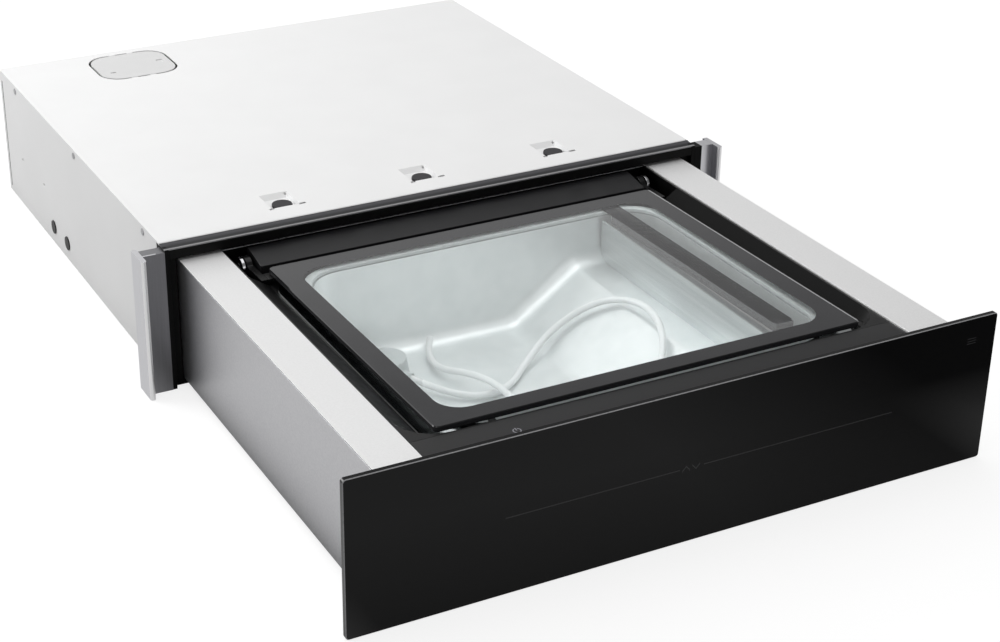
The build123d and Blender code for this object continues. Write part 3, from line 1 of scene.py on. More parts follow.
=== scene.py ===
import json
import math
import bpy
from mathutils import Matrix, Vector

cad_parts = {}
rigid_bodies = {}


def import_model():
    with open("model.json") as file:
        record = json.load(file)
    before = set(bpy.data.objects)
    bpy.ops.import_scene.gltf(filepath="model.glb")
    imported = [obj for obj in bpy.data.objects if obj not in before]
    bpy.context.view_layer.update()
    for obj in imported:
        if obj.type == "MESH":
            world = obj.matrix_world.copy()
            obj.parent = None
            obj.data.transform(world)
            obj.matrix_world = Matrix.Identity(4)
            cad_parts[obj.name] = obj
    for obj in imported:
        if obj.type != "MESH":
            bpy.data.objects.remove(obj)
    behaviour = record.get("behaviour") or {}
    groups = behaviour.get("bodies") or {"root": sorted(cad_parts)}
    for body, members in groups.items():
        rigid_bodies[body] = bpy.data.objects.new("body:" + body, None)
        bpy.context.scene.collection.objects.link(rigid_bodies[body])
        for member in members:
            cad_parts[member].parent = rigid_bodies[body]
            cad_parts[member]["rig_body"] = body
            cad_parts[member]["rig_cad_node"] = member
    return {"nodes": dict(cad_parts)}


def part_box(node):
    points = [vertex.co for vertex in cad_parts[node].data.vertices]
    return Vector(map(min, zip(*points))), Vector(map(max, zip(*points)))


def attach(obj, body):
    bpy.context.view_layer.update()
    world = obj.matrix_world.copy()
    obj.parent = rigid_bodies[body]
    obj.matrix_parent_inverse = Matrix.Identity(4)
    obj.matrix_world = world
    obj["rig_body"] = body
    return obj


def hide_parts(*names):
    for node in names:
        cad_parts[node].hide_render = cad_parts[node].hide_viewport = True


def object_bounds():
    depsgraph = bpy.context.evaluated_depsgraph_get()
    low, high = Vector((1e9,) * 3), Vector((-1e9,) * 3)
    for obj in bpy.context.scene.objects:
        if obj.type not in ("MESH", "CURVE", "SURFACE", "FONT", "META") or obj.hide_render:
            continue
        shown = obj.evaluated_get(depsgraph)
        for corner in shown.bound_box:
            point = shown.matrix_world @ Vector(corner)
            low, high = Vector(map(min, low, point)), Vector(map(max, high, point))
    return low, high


bl_info = {
    "name": "Vacuum Sealing Drawer",
    "version": (1, 0, 0),
    "blender": (4, 5, 0),
    "location": "View3D > Sidebar > Vacuum Drawer",
    "description": "Builds the looks of a built-in vacuum sealing drawer around its packed frame",
    "category": "Add Mesh",
}

import bmesh
import bpy
from bpy.props import FloatProperty, FloatVectorProperty, PointerProperty
from bpy.types import Operator, Panel, PropertyGroup
from mathutils import Vector

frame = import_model()
CAD_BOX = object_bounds()

# Places are given in millimetres as (x, behind, z): x to the right of the middle, behind the front
# glass's face, and up from the base.
MM = 0.001
FRONT_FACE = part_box("front_glass")[0][1] / MM
# An edge that turns by more than this many degrees is rounded.
SHARP = 30
# The noise of a surface mostly stays between these values.
CLOUD = (0.3, 0.7)


def place(x, behind, z):
    """A point of the row frame, in metres."""
    return Vector((x, behind + FRONT_FACE, z)) * MM


def node_box(node):
    """Lowest and highest corners of a CAD node, in millimetres as (x, behind, z)."""
    low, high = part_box(node)
    return [Vector(corner) / MM - Vector((0, FRONT_FACE, 0)) for corner in (low, high)]


# ---------------------------------------------------------------- making pieces


def alone(piece):
    """Selects one piece and nothing else."""
    if bpy.context.object and bpy.context.object.mode != "OBJECT":
        bpy.ops.object.mode_set(mode="OBJECT")
    bpy.ops.object.select_all(action="DESELECT")
    piece.select_set(True)
    bpy.context.view_layer.objects.active = piece


def enter(piece):
    """Opens a piece in edit mode with nothing selected."""
    alone(piece)
    bpy.ops.object.mode_set(mode="EDIT")
    bpy.ops.mesh.select_all(action="DESELECT")


def leave():
    """Goes back to object mode."""
    bpy.ops.object.mode_set(mode="OBJECT")


def take_all():
    """Selects everything in edit mode."""
    bpy.ops.mesh.select_all(action="SELECT")


def pick(piece, kind, test):
    """Selects in edit mode the parts that pass a test of the part and of its middle."""
    bpy.ops.mesh.select_mode(type=kind)
    bpy.ops.mesh.select_all(action="DESELECT")
    mesh = bmesh.from_edit_mesh(piece.data)
    parts = {"FACE": mesh.faces, "EDGE": mesh.edges, "VERT": mesh.verts}[kind]
    found = [part for part in parts if test(part, middle(part))]
    for part in found:
        part.select_set(True)
    mesh.select_flush_mode()
    bmesh.update_edit_mesh(piece.data)
    if not found:
        raise RuntimeError(f"nothing to select on {piece.name}")


def middle(part):
    """Middle of a face, edge or point, in millimetres as (x, behind, z)."""
    if isinstance(part, bmesh.types.BMVert):
        point = part.co
    elif isinstance(part, bmesh.types.BMEdge):
        point = (part.verts[0].co + part.verts[1].co) / 2
    else:
        point = part.calc_center_median()
    return point / MM - Vector((0, FRONT_FACE, 0))


def runs(edge, axis):
    """Whether an edge runs along an axis: 0 is x, 1 is y and 2 is z."""
    way = (edge.verts[1].co - edge.verts[0].co).normalized()
    return abs(way[axis]) > 0.999


def faces(face, axis, side):
    """Whether a face looks along an axis, to its positive or negative side."""
    return face.normal[axis] * side > 0.95


def near(value, target, within=0.05):
    return abs(value - target) < within


def named(name):
    """Names the new primitive and puts its place and size into its mesh."""
    piece = bpy.context.object
    piece.name = piece.data.name = name
    bpy.ops.object.transform_apply(rotation=False)
    return piece


def box_piece(name, low, high):
    """Adds a block between two corners."""
    low, high = place(*low), place(*high)
    bpy.ops.mesh.primitive_cube_add(size=1, location=(low + high) / 2)
    bpy.context.object.scale = high - low
    return named(name)


def rod_piece(name, foot, radius, height, sides):
    """Adds an upright rod on its foot."""
    bpy.ops.mesh.primitive_cylinder_add(vertices=sides, radius=radius * MM, depth=height * MM,
            location=place(*foot) + Vector((0, 0, height * MM / 2)))
    return named(name)


def mirrored(sign, low, high):
    """The two corners with their x times a sign, in rising order."""
    near_x, far_x = sorted((sign * low[0], sign * high[0]))
    return (near_x, *low[1:]), (far_x, *high[1:])


def modify(piece, kind, **settings):
    """Adds a modifier with its settings and applies it."""
    alone(piece)
    modifier = piece.modifiers.new(kind.title(), kind)
    for key, value in settings.items():
        setattr(modifier, key, value)
    bpy.ops.object.modifier_apply(modifier=modifier.name)


def round_edges(piece, width, segments=2):
    """Rounds every sharp edge."""
    modify(piece, "BEVEL", width=width * MM, segments=segments, limit_method="ANGLE",
            angle_limit=math.radians(SHARP), miter_outer="MITER_ARC")


def edit(piece, kind, test, operator, **settings):
    """Runs an edit-mode operator on the parts that pass the test."""
    enter(piece)
    pick(piece, kind, test)
    operator(**settings)
    leave()


def bevel(piece, width, segments, test):
    """Bevels the edges that pass the test by a width in metres."""
    edit(piece, "EDGE", test, bpy.ops.mesh.bevel, offset=width, segments=segments, affect="EDGES")


def split(piece, axis, at):
    """Splits a piece's faces, without parting them, along a plane across an axis."""
    way = Vector([float(side == axis) for side in range(3)])
    enter(piece)
    take_all()
    bpy.ops.mesh.bisect(plane_co=place(*(way * at)), plane_no=way)
    leave()


def cut(piece, cutters):
    """Takes the cutters out of a piece."""
    for cutter in cutters:
        modify(piece, "BOOLEAN", operation="DIFFERENCE", object=cutter, solver="EXACT")
        bpy.data.objects.remove(cutter)


def turn(piece, degrees, behind, z):
    """Turns a piece about an axis that runs across the drawer; a positive turn lifts its front."""
    enter(piece)
    take_all()
    bpy.ops.transform.rotate(value=math.radians(degrees), orient_axis="X", orient_type="GLOBAL",
            center_override=place(0, behind, z))
    leave()


def shift(piece, kind, test, way):
    """Moves the picked parts of a piece by some millimetres."""
    edit(piece, kind, test, bpy.ops.transform.translate, value=Vector(way) * MM)


def add_finish(piece, slot, test):
    """Gives the faces that pass the test a second finish."""
    piece.data.materials.append(finish(slot))
    enter(piece)
    pick(piece, "FACE", test)
    piece.active_material_index = len(piece.data.materials) - 1
    bpy.ops.object.material_slot_assign()
    leave()


def cad_copy(node, name, width=0.0, segments=2, flat=1.0):
    """A merged copy of a CAD node, with its sharp edges rounded where a width is given."""
    source = frame["nodes"][node]
    piece = source.copy()
    piece.data = source.data.copy()
    piece.name = piece.data.name = name
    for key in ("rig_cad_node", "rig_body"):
        del piece[key]
    piece.parent = None
    piece.hide_render = piece.hide_viewport = False
    bpy.context.collection.objects.link(piece)
    enter(piece)
    take_all()
    bpy.ops.mesh.remove_doubles(threshold=1e-6)
    if flat:
        bpy.ops.mesh.dissolve_limited(angle_limit=math.radians(flat))
    leave()
    if width:
        round_edges(piece, width, segments)
    return piece


def settle(piece, body, slot, look, *nodes, smooth=30):
    """Shades a piece, gives it its look if one is named, ties it to its body, and hides its CAD nodes. Its
    slot is not used.
    """
    alone(piece)
    bpy.ops.object.shade_smooth_by_angle(angle=math.radians(smooth))
    modify(piece, "WEIGHTED_NORMAL", keep_sharp=True)
    if look:
        piece.data.materials.clear()
        piece.data.materials.append(finish(look))
    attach(piece, body)
    if nodes:
        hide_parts(*nodes)
    return piece


def add_nodes(body, slot, *rows, look=None):
    """Adds a copy of each row's CAD node. A row is the node, the new name and how its edges are rounded."""
    return [settle(cad_copy(node, name, *rounding), body, slot, look or slot, node)
            for node, name, *rounding in rows]


# ---------------------------------------------------------------- materials


def colour(code):
    """Linear colour of an sRGB hex value."""
    values = [int(code[start:start + 2], 16) / 255 for start in (1, 3, 5)]
    return [v / 12.92 if v <= 0.04045 else ((v + 0.055) / 1.055) ** 2.4 for v in values] + [1.0]


def add(tree, kind, inputs=None, **settings):
    """Adds a shader node, sets it, and feeds its inputs with values or with other nodes' outputs."""
    node = tree.nodes.new(kind)
    for key, value in settings.items():
        setattr(node, key, value)
    for key, value in (inputs or {}).items():
        if isinstance(value, bpy.types.NodeSocket):
            tree.links.new(value, node.inputs[key])
        else:
            node.inputs[key].default_value = value
    return node


def blank_material(name, **sockets):
    """A material with a lone Principled shader."""
    material = bpy.data.materials.new(name)
    material.use_nodes = True
    tree = material.node_tree
    shader = tree.nodes["Principled BSDF"]
    for key, value in sockets.items():
        shader.inputs[key.replace("_", " ")].default_value = value
    return material, tree, shader


def reckon(tree, operation, *values, **settings):
    """The output of a math node."""
    return add(tree, "ShaderNodeMath", dict(enumerate(values)), operation=operation, **settings).outputs[0]


def remap(tree, value, start, end, low=0.0, high=1.0):
    """A value that goes from low to high while another goes from start to end."""
    return add(tree, "ShaderNodeMapRange", {"Value": value, "From Min": start, "From Max": end, "To Min": low,
            "To Max": high}).outputs[0]


def axes(tree, space="Object"):
    """The outputs X, Y and Z of the shaded point."""
    return add(tree, "ShaderNodeSeparateXYZ", {0: add(tree, "ShaderNodeTexCoord").outputs[space]}).outputs


def noise(tree, where, scale, detail):
    """Noise with a scale of its own along each axis."""
    spread = add(tree, "ShaderNodeMapping", {"Vector": where, "Scale": scale})
    return add(tree, "ShaderNodeTexNoise", {"Vector": spread.outputs[0], "Scale": 1.0,
            "Detail": detail}).outputs["Fac"]


def paint(tree, shader, mask, under, over):
    """Gives a shader one colour where the mask is 0 and another where it is 1."""
    mix = add(tree, "ShaderNodeMixRGB", {"Fac": mask, "Color1": colour(under), "Color2": colour(over)})
    tree.links.new(mix.outputs[0], shader.inputs["Base Color"])


def surface(name, light, dark, grain, roughness, swing=0.05, relief=0.0, fine=None, metallic=0.0, ior=1.5,
        stretch=(1, 1, 1), **sockets):
    """A material whose colour, roughness and relief vary with a grain of some millimetres."""
    material, tree, shader = blank_material(name, Metallic=metallic, IOR=ior, **sockets)
    where = add(tree, "ShaderNodeTexCoord").outputs["Object"]
    cloud = noise(tree, where, [way / (grain * MM) for way in stretch], 3.0)
    blend = add(tree, "ShaderNodeValToRGB", {"Fac": cloud})
    for stop, at, code in zip(blend.color_ramp.elements, CLOUD, (dark, light)):
        stop.position = at
        stop.color = colour(code)
    tree.links.new(blend.outputs[0], shader.inputs["Base Color"])
    spread = remap(tree, cloud, *CLOUD, roughness - swing, roughness + swing)
    tree.links.new(spread, shader.inputs["Roughness"])
    if relief:
        pits = noise(tree, where, [way / ((fine or grain) * MM) for way in stretch], 2.0)
        bump = add(tree, "ShaderNodeBump", {"Height": pits, "Strength": 0.6, "Distance": relief * MM})
        tree.links.new(bump.outputs[0], shader.inputs["Normal"])
    return material


# Each finish is its material's name, which also says where light or shade is painted into it, its light and
# dark colours, its grain in millimetres, its roughness, and what else sets it apart.
FINISHES = {
    # Powder-coated steel sheet, baked: the coat leaves a fine orange peel and a soft sheen.
    "case_white": ("powder_coated_sheet", "#EDEDED", "#EAEAEA", 60, 0.42, dict(relief=0.02, fine=1.6)),
    # Bare coated plate, a little greyer than the sheet round it; the same grey on the top sheet's rolled
    # front edge is painted shade.
    "plate_grey_and_roll_shade": ("knockout_plate_and_roll_shade", "#D6D6D6", "#D2D2D2", 14, 0.45, dict(relief=0.02, fine=1.6)),
    # Painted shade: the rounded fold along each side of the top sheet is coloured dark grey, where it turns
    # from the light.
    "fold_shade": ("fold_painted_shade", "#6E6E6E", "#646464", 20, 0.45, {}),
    # Painted shade: dark grey on the top strips' sheared outer edges, for the joint to the wall, and in the
    # cabinet sides' rear joint grooves.
    "seam": ("seam_painted_shade", "#4A4A4C", "#404042", 5, 0.5, dict(metallic=0.5)),
    # Matte black powder coat on folded steel: nearly no sheen, fine sand-like relief.
    "frame_black": ("matte_black_coat", "#040404", "#020202", 9, 0.5,
                    dict(relief=0.03, fine=1.2, Specular_IOR_Level=0.12)),
    # Extruded aluminium, satin anodised: soft long reflections with faint die lines along its length.
    "bracket_grey": ("anodised_aluminium_profile", "#E0E0E3", "#DADADE", 1.4, 0.3,
                     dict(swing=0.01, metallic=1.0, stretch=(1, 1, 0.03))),
    # The web of the same profile, a little duller and coloured darker as painted shade.
    "bracket_web_shade": ("aluminium_web_painted_shade", "#8C8C8F", "#868689", 1.4, 0.34,
                    dict(swing=0.01, metallic=1.0, stretch=(1, 1, 0.03))),
    # Its front nose, coloured near white as a painted highlight.
    "bracket_nose_highlight": ("aluminium_nose_painted_highlight", "#FBFBFB", "#F2F2F3", 1.4, 0.25,
                     dict(swing=0.01, metallic=0.9, stretch=(1, 1, 0.03))),
    # Hot-dip galvanised sheet: grey crystals a few millimetres wide, each with its own shine.
    "galvanised": ("galvanised_sheet", "#B4B7B9", "#8F9396", 5, 0.45, dict(swing=0.12, metallic=0.9)),
    # Bright zinc on cold-rolled slide profiles: drawn lines along the travel.
    "slide_steel": ("zinc_plated_slide_steel", "#C9C9CB", "#ABACAF", 1.2, 0.32,
                    dict(swing=0.06, metallic=1.0, stretch=(1, 0.03, 1))),
    # Satin stainless, deep drawn: broad soft reflections, faint drawn streaks on the walls.
    "chamber_steel": ("satin_drawn_stainless", "#E9ECEC", "#E1E5E5", 16, 0.38,
                      dict(swing=0.02, metallic=0.8)),
    # The same sheet rolled flat and polished at the flange: it mirrors the dark lid close above it.
    "flange_steel": ("polished_stainless_flange", "#CDD0D1", "#C4C8C9", 12, 0.12,
                     dict(swing=0.02, metallic=1.0)),
    # Brushed stainless plate: streaks along its length; coloured darker than the chamber's steel as painted
    # shade.
    "carrier_steel_shaded": ("stainless_plate_painted_shade", "#BEC2C2", "#AAAFB0", 4, 0.42,
                      dict(swing=0.03, metallic=0.8, stretch=(1, 0.03, 1))),
    # Injection-moulded ABS with a fine spark-eroded texture: matte with a low wide sheen.
    "black_plastic": ("moulded_black_abs", "#0B0B0C", "#070708", 7, 0.34,
                      dict(relief=0.01, fine=0.9, Specular_IOR_Level=0.35)),
    # Black coat on the folded hinge cover, a little greyer and softer than the moulding.
    "cover_coat": ("satin_black_cover_coat", "#1C1C1E", "#161618", 20, 0.4, {}),
    # Enamel strip printed under the lid's glass, over the counter bar.
    "bar_print": ("printed_enamel_strip", "#222124", "#1E1D20", 20, 0.5, {}),
    # Ground and seamed glass edge: it scatters light and looks paler than the face. On the lid's right edge
    # and a strip of its top beside it, the pale colour is a painted highlight.
    "glass_edge": ("ground_edge_and_painted_highlight", "#A8A8AA", "#98989A", 3, 0.3, {}),
    # Black-coated pressed steel: nearly no colour, a small soft shine.
    "hinge_metal": ("black_coated_hinge_steel", "#0A0A0B", "#060607", 3, 0.3, dict(Specular_IOR_Level=0.3)),
    # The stamped edge of the hinge lugs, left bright.
    "lug_edge": ("bright_stamped_edge", "#D2D2D4", "#C2C2C5", 2, 0.2, dict(metallic=1.0)),
    # Zinc on small turned screws: bright, with a yellow-free grey shine.
    "screw_steel": ("zinc_plated_screw_steel", "#C4C4C6", "#A5A5A8", 1.5, 0.28, dict(metallic=1.0)),
    # Moulded EPDM: dull, slightly dusty grey-black.
    "rubber_grey": ("moulded_epdm_rubber", "#2C2B2E", "#262528", 6, 0.62, dict(relief=0.02, fine=0.8)),
    # Extruded aluminium, bead blasted.
    "bar_aluminium": ("blasted_aluminium", "#C6C6C6", "#B2B2B2", 2, 0.38, dict(metallic=1.0)),
    # Resistance strip under PTFE-coated glass cloth: grey tape with a low sheen.
    "heater_metal": ("taped_heating_strip", "#8F9496", "#7B8082", 1.2, 0.4, dict(metallic=0.2)),
    # Die-cast aluminium: dull grey with soft clouds.
    "pump_metal": ("die_cast_aluminium", "#A9AAAC", "#8C8D90", 4, 0.5,
                   dict(relief=0.06, fine=1.3, metallic=0.9)),
    # Painted cast motor housing.
    "motor_metal": ("painted_motor_casting", "#53565A", "#46494D", 5, 0.45, dict(relief=0.05, fine=1.4)),
    # Varnished electrical sheet, stacked: thin dark lines across the core.
    "transformer_iron": ("varnished_iron_core", "#4A4340", "#2E2A28", 1.0, 0.5,
                         dict(metallic=0.4, stretch=(0.02, 1, 0.02))),
    # Glass-fibre board under green lacquer.
    "board_green": ("lacquered_circuit_board", "#1F5A3A", "#154428", 2.5, 0.3, {}),
    # Silicone, moulded translucent.
    "adapter_silicone": ("moulded_clear_silicone", "#D3D9D9", "#C8CFCF", 8, 0.38,
                         dict(ior=1.41, Transmission_Weight=0.25)),
    # PVC hose, extruded clear and smooth.
    "hose_clear": ("extruded_clear_pvc", "#FAFCFC", "#F6F8F8", 25, 0.3,
                   dict(swing=0.03, ior=1.45, Transmission_Weight=0.2)),
    # Brushed stainless sheet of the top strips: fine lines that spread reflections; whiter and less metallic
    # than the walls' copy, as painted light.
    "drawer_steel": ("brushed_stainless_painted_light", "#F4F4F4", "#EEEEEE", 1.6, 0.5, dict(metallic=0.5)),
    # Bead-blasted stainless of the outer walls: coloured darker than the strips' copy as painted shade, with
    # soft even reflections and a fine grain.
    "wall_steel_shaded": ("blasted_stainless_painted_shade", "#D6D6D8", "#CBCBCE", 1.6, 0.42, dict(swing=0.03, metallic=1.0)),
    # Dark enamel print on the lid's glass: smooth, dark grey and even.
    "lid_glass": ("enamel_printed_glass", "#2F2F31", "#2B2B2D", 30, 0.14, dict(swing=0.02)),
    # The polished bevel round the lid's glass: black from behind, a mirror where it is seen flat on.
    "arris": ("polished_glass_arris", "#18181A", "#141416", 30, 0.05, dict(swing=0.01)),
}
made = {}


def finish(slot):
    """The material of a slot, made once."""
    if slot not in made:
        if slot in SPECIAL:
            made[slot] = SPECIAL[slot]()
        else:
            *basics, extras = FINISHES[slot]
            made[slot] = surface(*basics, **extras)
    return made[slot]


# The trim from its front ridge to its rear edge, and its tones on the way: a painted highlight on the ridge
# and painted shade in the groove behind it.
TRIM_DEPTH = (415, 430)
TRIM_LIGHT_AND_SHADE = ((0.14, "#8A8A8C"), (0.2, "#19191B"), (0.5, "#1E1E20"), (0.58, "#38383B"), (0.86, "#47474A"))


def trim_coat():
    """Satin grey coat on the stepped trim, with faint drawn lines; light and shade are painted by depth: a
    highlight on its front ridge, shade in its groove.
    """
    material, tree, shader = blank_material("trim_coat_painted_light_and_shade", IOR=1.5, Roughness=0.38)
    where = add(tree, "ShaderNodeTexCoord").outputs["Object"]
    depth = remap(tree, axes(tree)["Y"], *(place(0, behind, 0).y for behind in TRIM_DEPTH))
    blend = add(tree, "ShaderNodeValToRGB", {"Fac": depth})
    ramp = blend.color_ramp
    for at, code in TRIM_LIGHT_AND_SHADE:
        ramp.elements.new(at).color = colour(code)
    ramp.elements[0].color, ramp.elements[-1].color = colour("#8A8A8C"), colour("#2A2A2C")
    drawn_lines = remap(tree, noise(tree, where, (60, 2500, 2500), 2.0), 0, 1, 0.8, 1.2)
    mix = add(tree, "ShaderNodeVectorMath", {0: blend.outputs[0], 3: drawn_lines}, operation="SCALE")
    tree.links.new(mix.outputs[0], shader.inputs["Base Color"])
    return material


def print_mask(tree, across, along, strokes):
    """1 on printed strokes, each given as its middle and half size across and along, else 0."""
    total = None
    for middle_a, half_a, middle_b, half_b in strokes:
        both = reckon(tree, "MULTIPLY", reckon(tree, "COMPARE", across, middle_a * MM, half_a * MM),
                reckon(tree, "COMPARE", along, middle_b * MM, half_b * MM))
        total = both if total is None else reckon(tree, "MAXIMUM", total, both)
    return total


# The print on the front glass: hairlines as middle and half length, the three short strokes at the top
# right, and two arrow heads as middle and whether the head points down (-1) or up (1).
HAIRLINES = ((-86, 76), (102.5, 90.5))
STROKES = [(268, 4.5, 117 - 2.2 * row, 0.35) for row in range(3)]
ARROWS = ((-4.2, -1), (4.9, 1))
ARROW_HALF = 3.6
ARROW_SLOPE = 1.1
ARROW_LINE = 0.75


def front_glass_material():
    """Float glass with a black enamel back: deep black, mirror-smooth, with fine grey printed lines."""
    sizes = bpy.context.scene.drawer_front
    material, tree, shader = blank_material("black_enamelled_float_glass", IOR=1.5, Roughness=0.04)
    where = axes(tree)
    half = sizes.line_width / MM / 2
    level = sizes.line_level / MM
    lines = [(centre, reach, level, half) for centre, reach in HAIRLINES]
    mask = print_mask(tree, where["X"], where["Z"], lines + STROKES)
    for centre, slope in ARROWS:
        far = reckon(tree, "ABSOLUTE", reckon(tree, "SUBTRACT", where["X"], centre * MM))
        tall = reckon(tree, "MULTIPLY_ADD", far, slope * ARROW_SLOPE, (level - slope * 2.0) * MM)
        on_line = reckon(tree, "COMPARE", where["Z"], tall, ARROW_LINE * MM)
        within = reckon(tree, "LESS_THAN", far, ARROW_HALF * MM)
        mask = reckon(tree, "MAXIMUM", mask, reckon(tree, "MULTIPLY", on_line, within))
    paint(tree, shader, mask, "#0B0B0C", "#3E3E3F")
    return material


# The power sign, as (x, behind, z), the radius and half width of its ring, and its gap and bar as strokes.
SIGN = (-139.5, 25.5, 0)
SIGN_RING = (3.0, 0.45)
SIGN_GAP = (0, 1.3, 3.0, 1.5)
SIGN_BAR = (0, 0.45, 2.2, 2.0)


def control_material():
    """Touch strip of black-backed glass: satin dark grey, with a printed power sign."""
    material, tree, shader = blank_material("satin_black_touch_glass", IOR=1.5, Roughness=0.3)
    where, sign = axes(tree), place(*SIGN)
    x = reckon(tree, "SUBTRACT", where["X"], sign.x)
    y = reckon(tree, "SUBTRACT", where["Y"], sign.y)
    flat = add(tree, "ShaderNodeCombineXYZ", {"X": x, "Y": y})
    away = add(tree, "ShaderNodeVectorMath", {0: flat.outputs[0]}, operation="LENGTH").outputs["Value"]
    ring = reckon(tree, "COMPARE", away, *(size * MM for size in SIGN_RING))
    open_ring = reckon(tree, "SUBTRACT", ring, print_mask(tree, x, y, [SIGN_GAP]), use_clamp=True)
    mask = reckon(tree, "MAXIMUM", open_ring, print_mask(tree, x, y, [SIGN_BAR]))
    paint(tree, shader, mask, "#121214", "#8A8A90")
    return material


def clear_glass_material():
    """Toughened float glass: clear with a faint cool tint; lamps reach through it to the chamber."""
    material, tree, shader = blank_material("clear_toughened_glass", IOR=1.5, Roughness=0.0,
            Transmission_Weight=1.0, Base_Color=colour("#FBFDFD"))
    path = add(tree, "ShaderNodeLightPath")
    through = add(tree, "ShaderNodeBsdfTransparent", {"Color": colour("#F7F9F9")})
    mix = add(tree, "ShaderNodeMixShader", {0: path.outputs["Is Shadow Ray"], 1: shader.outputs[0],
            2: through.outputs[0]})
    tree.links.new(mix.outputs[0], tree.nodes["Material Output"].inputs["Surface"])
    return material


SPECIAL = {
    "trim_grey": trim_coat,
    "front_black_glass": front_glass_material,
    "control_black": control_material,
    "lid_window": clear_glass_material,
}


# ---------------------------------------------------------------- sizes and colours


class DrawerStudioSettings(PropertyGroup):
    lens: FloatProperty(name="Lens", description="Focal length of the camera", default=71.8, unit="CAMERA")
    floor_colour: FloatVectorProperty(name="Floor colour", description="Colour of the pale floor",
            subtype="COLOR", size=4, default=colour("#949494"))
    sky: FloatProperty(name="Sky light", description="Strength of the even light from all sides",
            default=0.45, min=0)
    top_lamp: FloatProperty(name="Top lamp", description="Power of the softbox overhead", default=27,
            unit="POWER")
    side_lamp: FloatProperty(name="Side lamp", description="Power of the softbox on the left", default=21,
            unit="POWER")


class DrawerFrontSettings(PropertyGroup):
    corner: FloatProperty(name="Corner radius", description="Radius of the front glass's corners",
            default=3 * MM, unit="LENGTH")
    arris: FloatProperty(name="Ground edge", description="Width of the glass's ground edges",
            default=0.6 * MM, unit="LENGTH")
    line_width: FloatProperty(name="Printed line", description="Width of the printed hairline",
            default=0.9 * MM, unit="LENGTH")
    line_level: FloatProperty(name="Line level", description="Height of the printed hairline",
            default=67.5 * MM, unit="LENGTH")


class DrawerLidSettings(PropertyGroup):
    window_corner: FloatProperty(name="Window corner", description="Radius of the window's corners",
            default=22 * MM, unit="LENGTH")
    outer_corner: FloatProperty(name="Lid corner", description="Radius of the lid's corners", default=4 * MM,
            unit="LENGTH")
    thickness: FloatProperty(name="Glass thickness", description="Thickness of the lid's glass",
            default=4.8 * MM, unit="LENGTH")
    ajar: FloatProperty(name="Ajar", description="How far the unlatched lid stands open",
            default=math.radians(0.9), unit="ROTATION")


class DrawerSheetSettings(PropertyGroup):
    fold: FloatProperty(name="Fold radius", description="Radius of folded sheet edges", default=0.5 * MM,
            unit="LENGTH")
    moulded: FloatProperty(name="Moulded edge", description="Radius of moulded plastic edges",
            default=0.7 * MM, unit="LENGTH")


class DrawerHoseSettings(PropertyGroup):
    diameter: FloatProperty(name="Diameter", description="Outer diameter of the vacuum hose", default=6 * MM,
            unit="LENGTH")
    length: FloatProperty(name="Length", description="Real length of the vacuum hose", default=0.694,
            unit="LENGTH")


# ---------------------------------------------------------------- operators

# The camera as it was fitted, in metres: where it stands, which way it looks and its lens shift.
CAMERA_SPOT = (-0.76965, -1.76517, 0.85770)
CAMERA_AIM = (0.40314, 0.80086, -0.44283)
CAMERA_SHIFT = (0.0658, -0.0148)
SENSOR_WIDTH = 36
# The softboxes: width, place and the point they light.
TOP_BOX = (2.6, (0.0, 0.1, 2.4), (0, 0.1, 0))
LEFT_BOX = (1.2, (-1.5, 0.95, 1.15), (-0.1, 0, 0.05))
FLOOR_SIZE = 12
FLOOR_GAP = 0.0005
# How much the floor glows in the camera's view, so that it fades into the white round it.
FLOOR_GLOW = 0.78
# What shine sees of the floor and of the sky: where a change starts and ends, and its value at both. The
# card's darker front and its glow are a painted reflection.
CARD_DEPTH = (-0.80, -0.62)
CARD_LEFT = (-0.262, -0.30, 0, 0.55)
CARD_RIGHT = (0.28, 0.34, 0, 0.6)
CARD_FRONT = (0.34, 0.06, 0, 0.24)
SKY_OVERHEAD = (0.3, 0.5, 1.0, 0.2)
SKY_RIGHT = (0.3, 0.6, 1.45, 0.6)


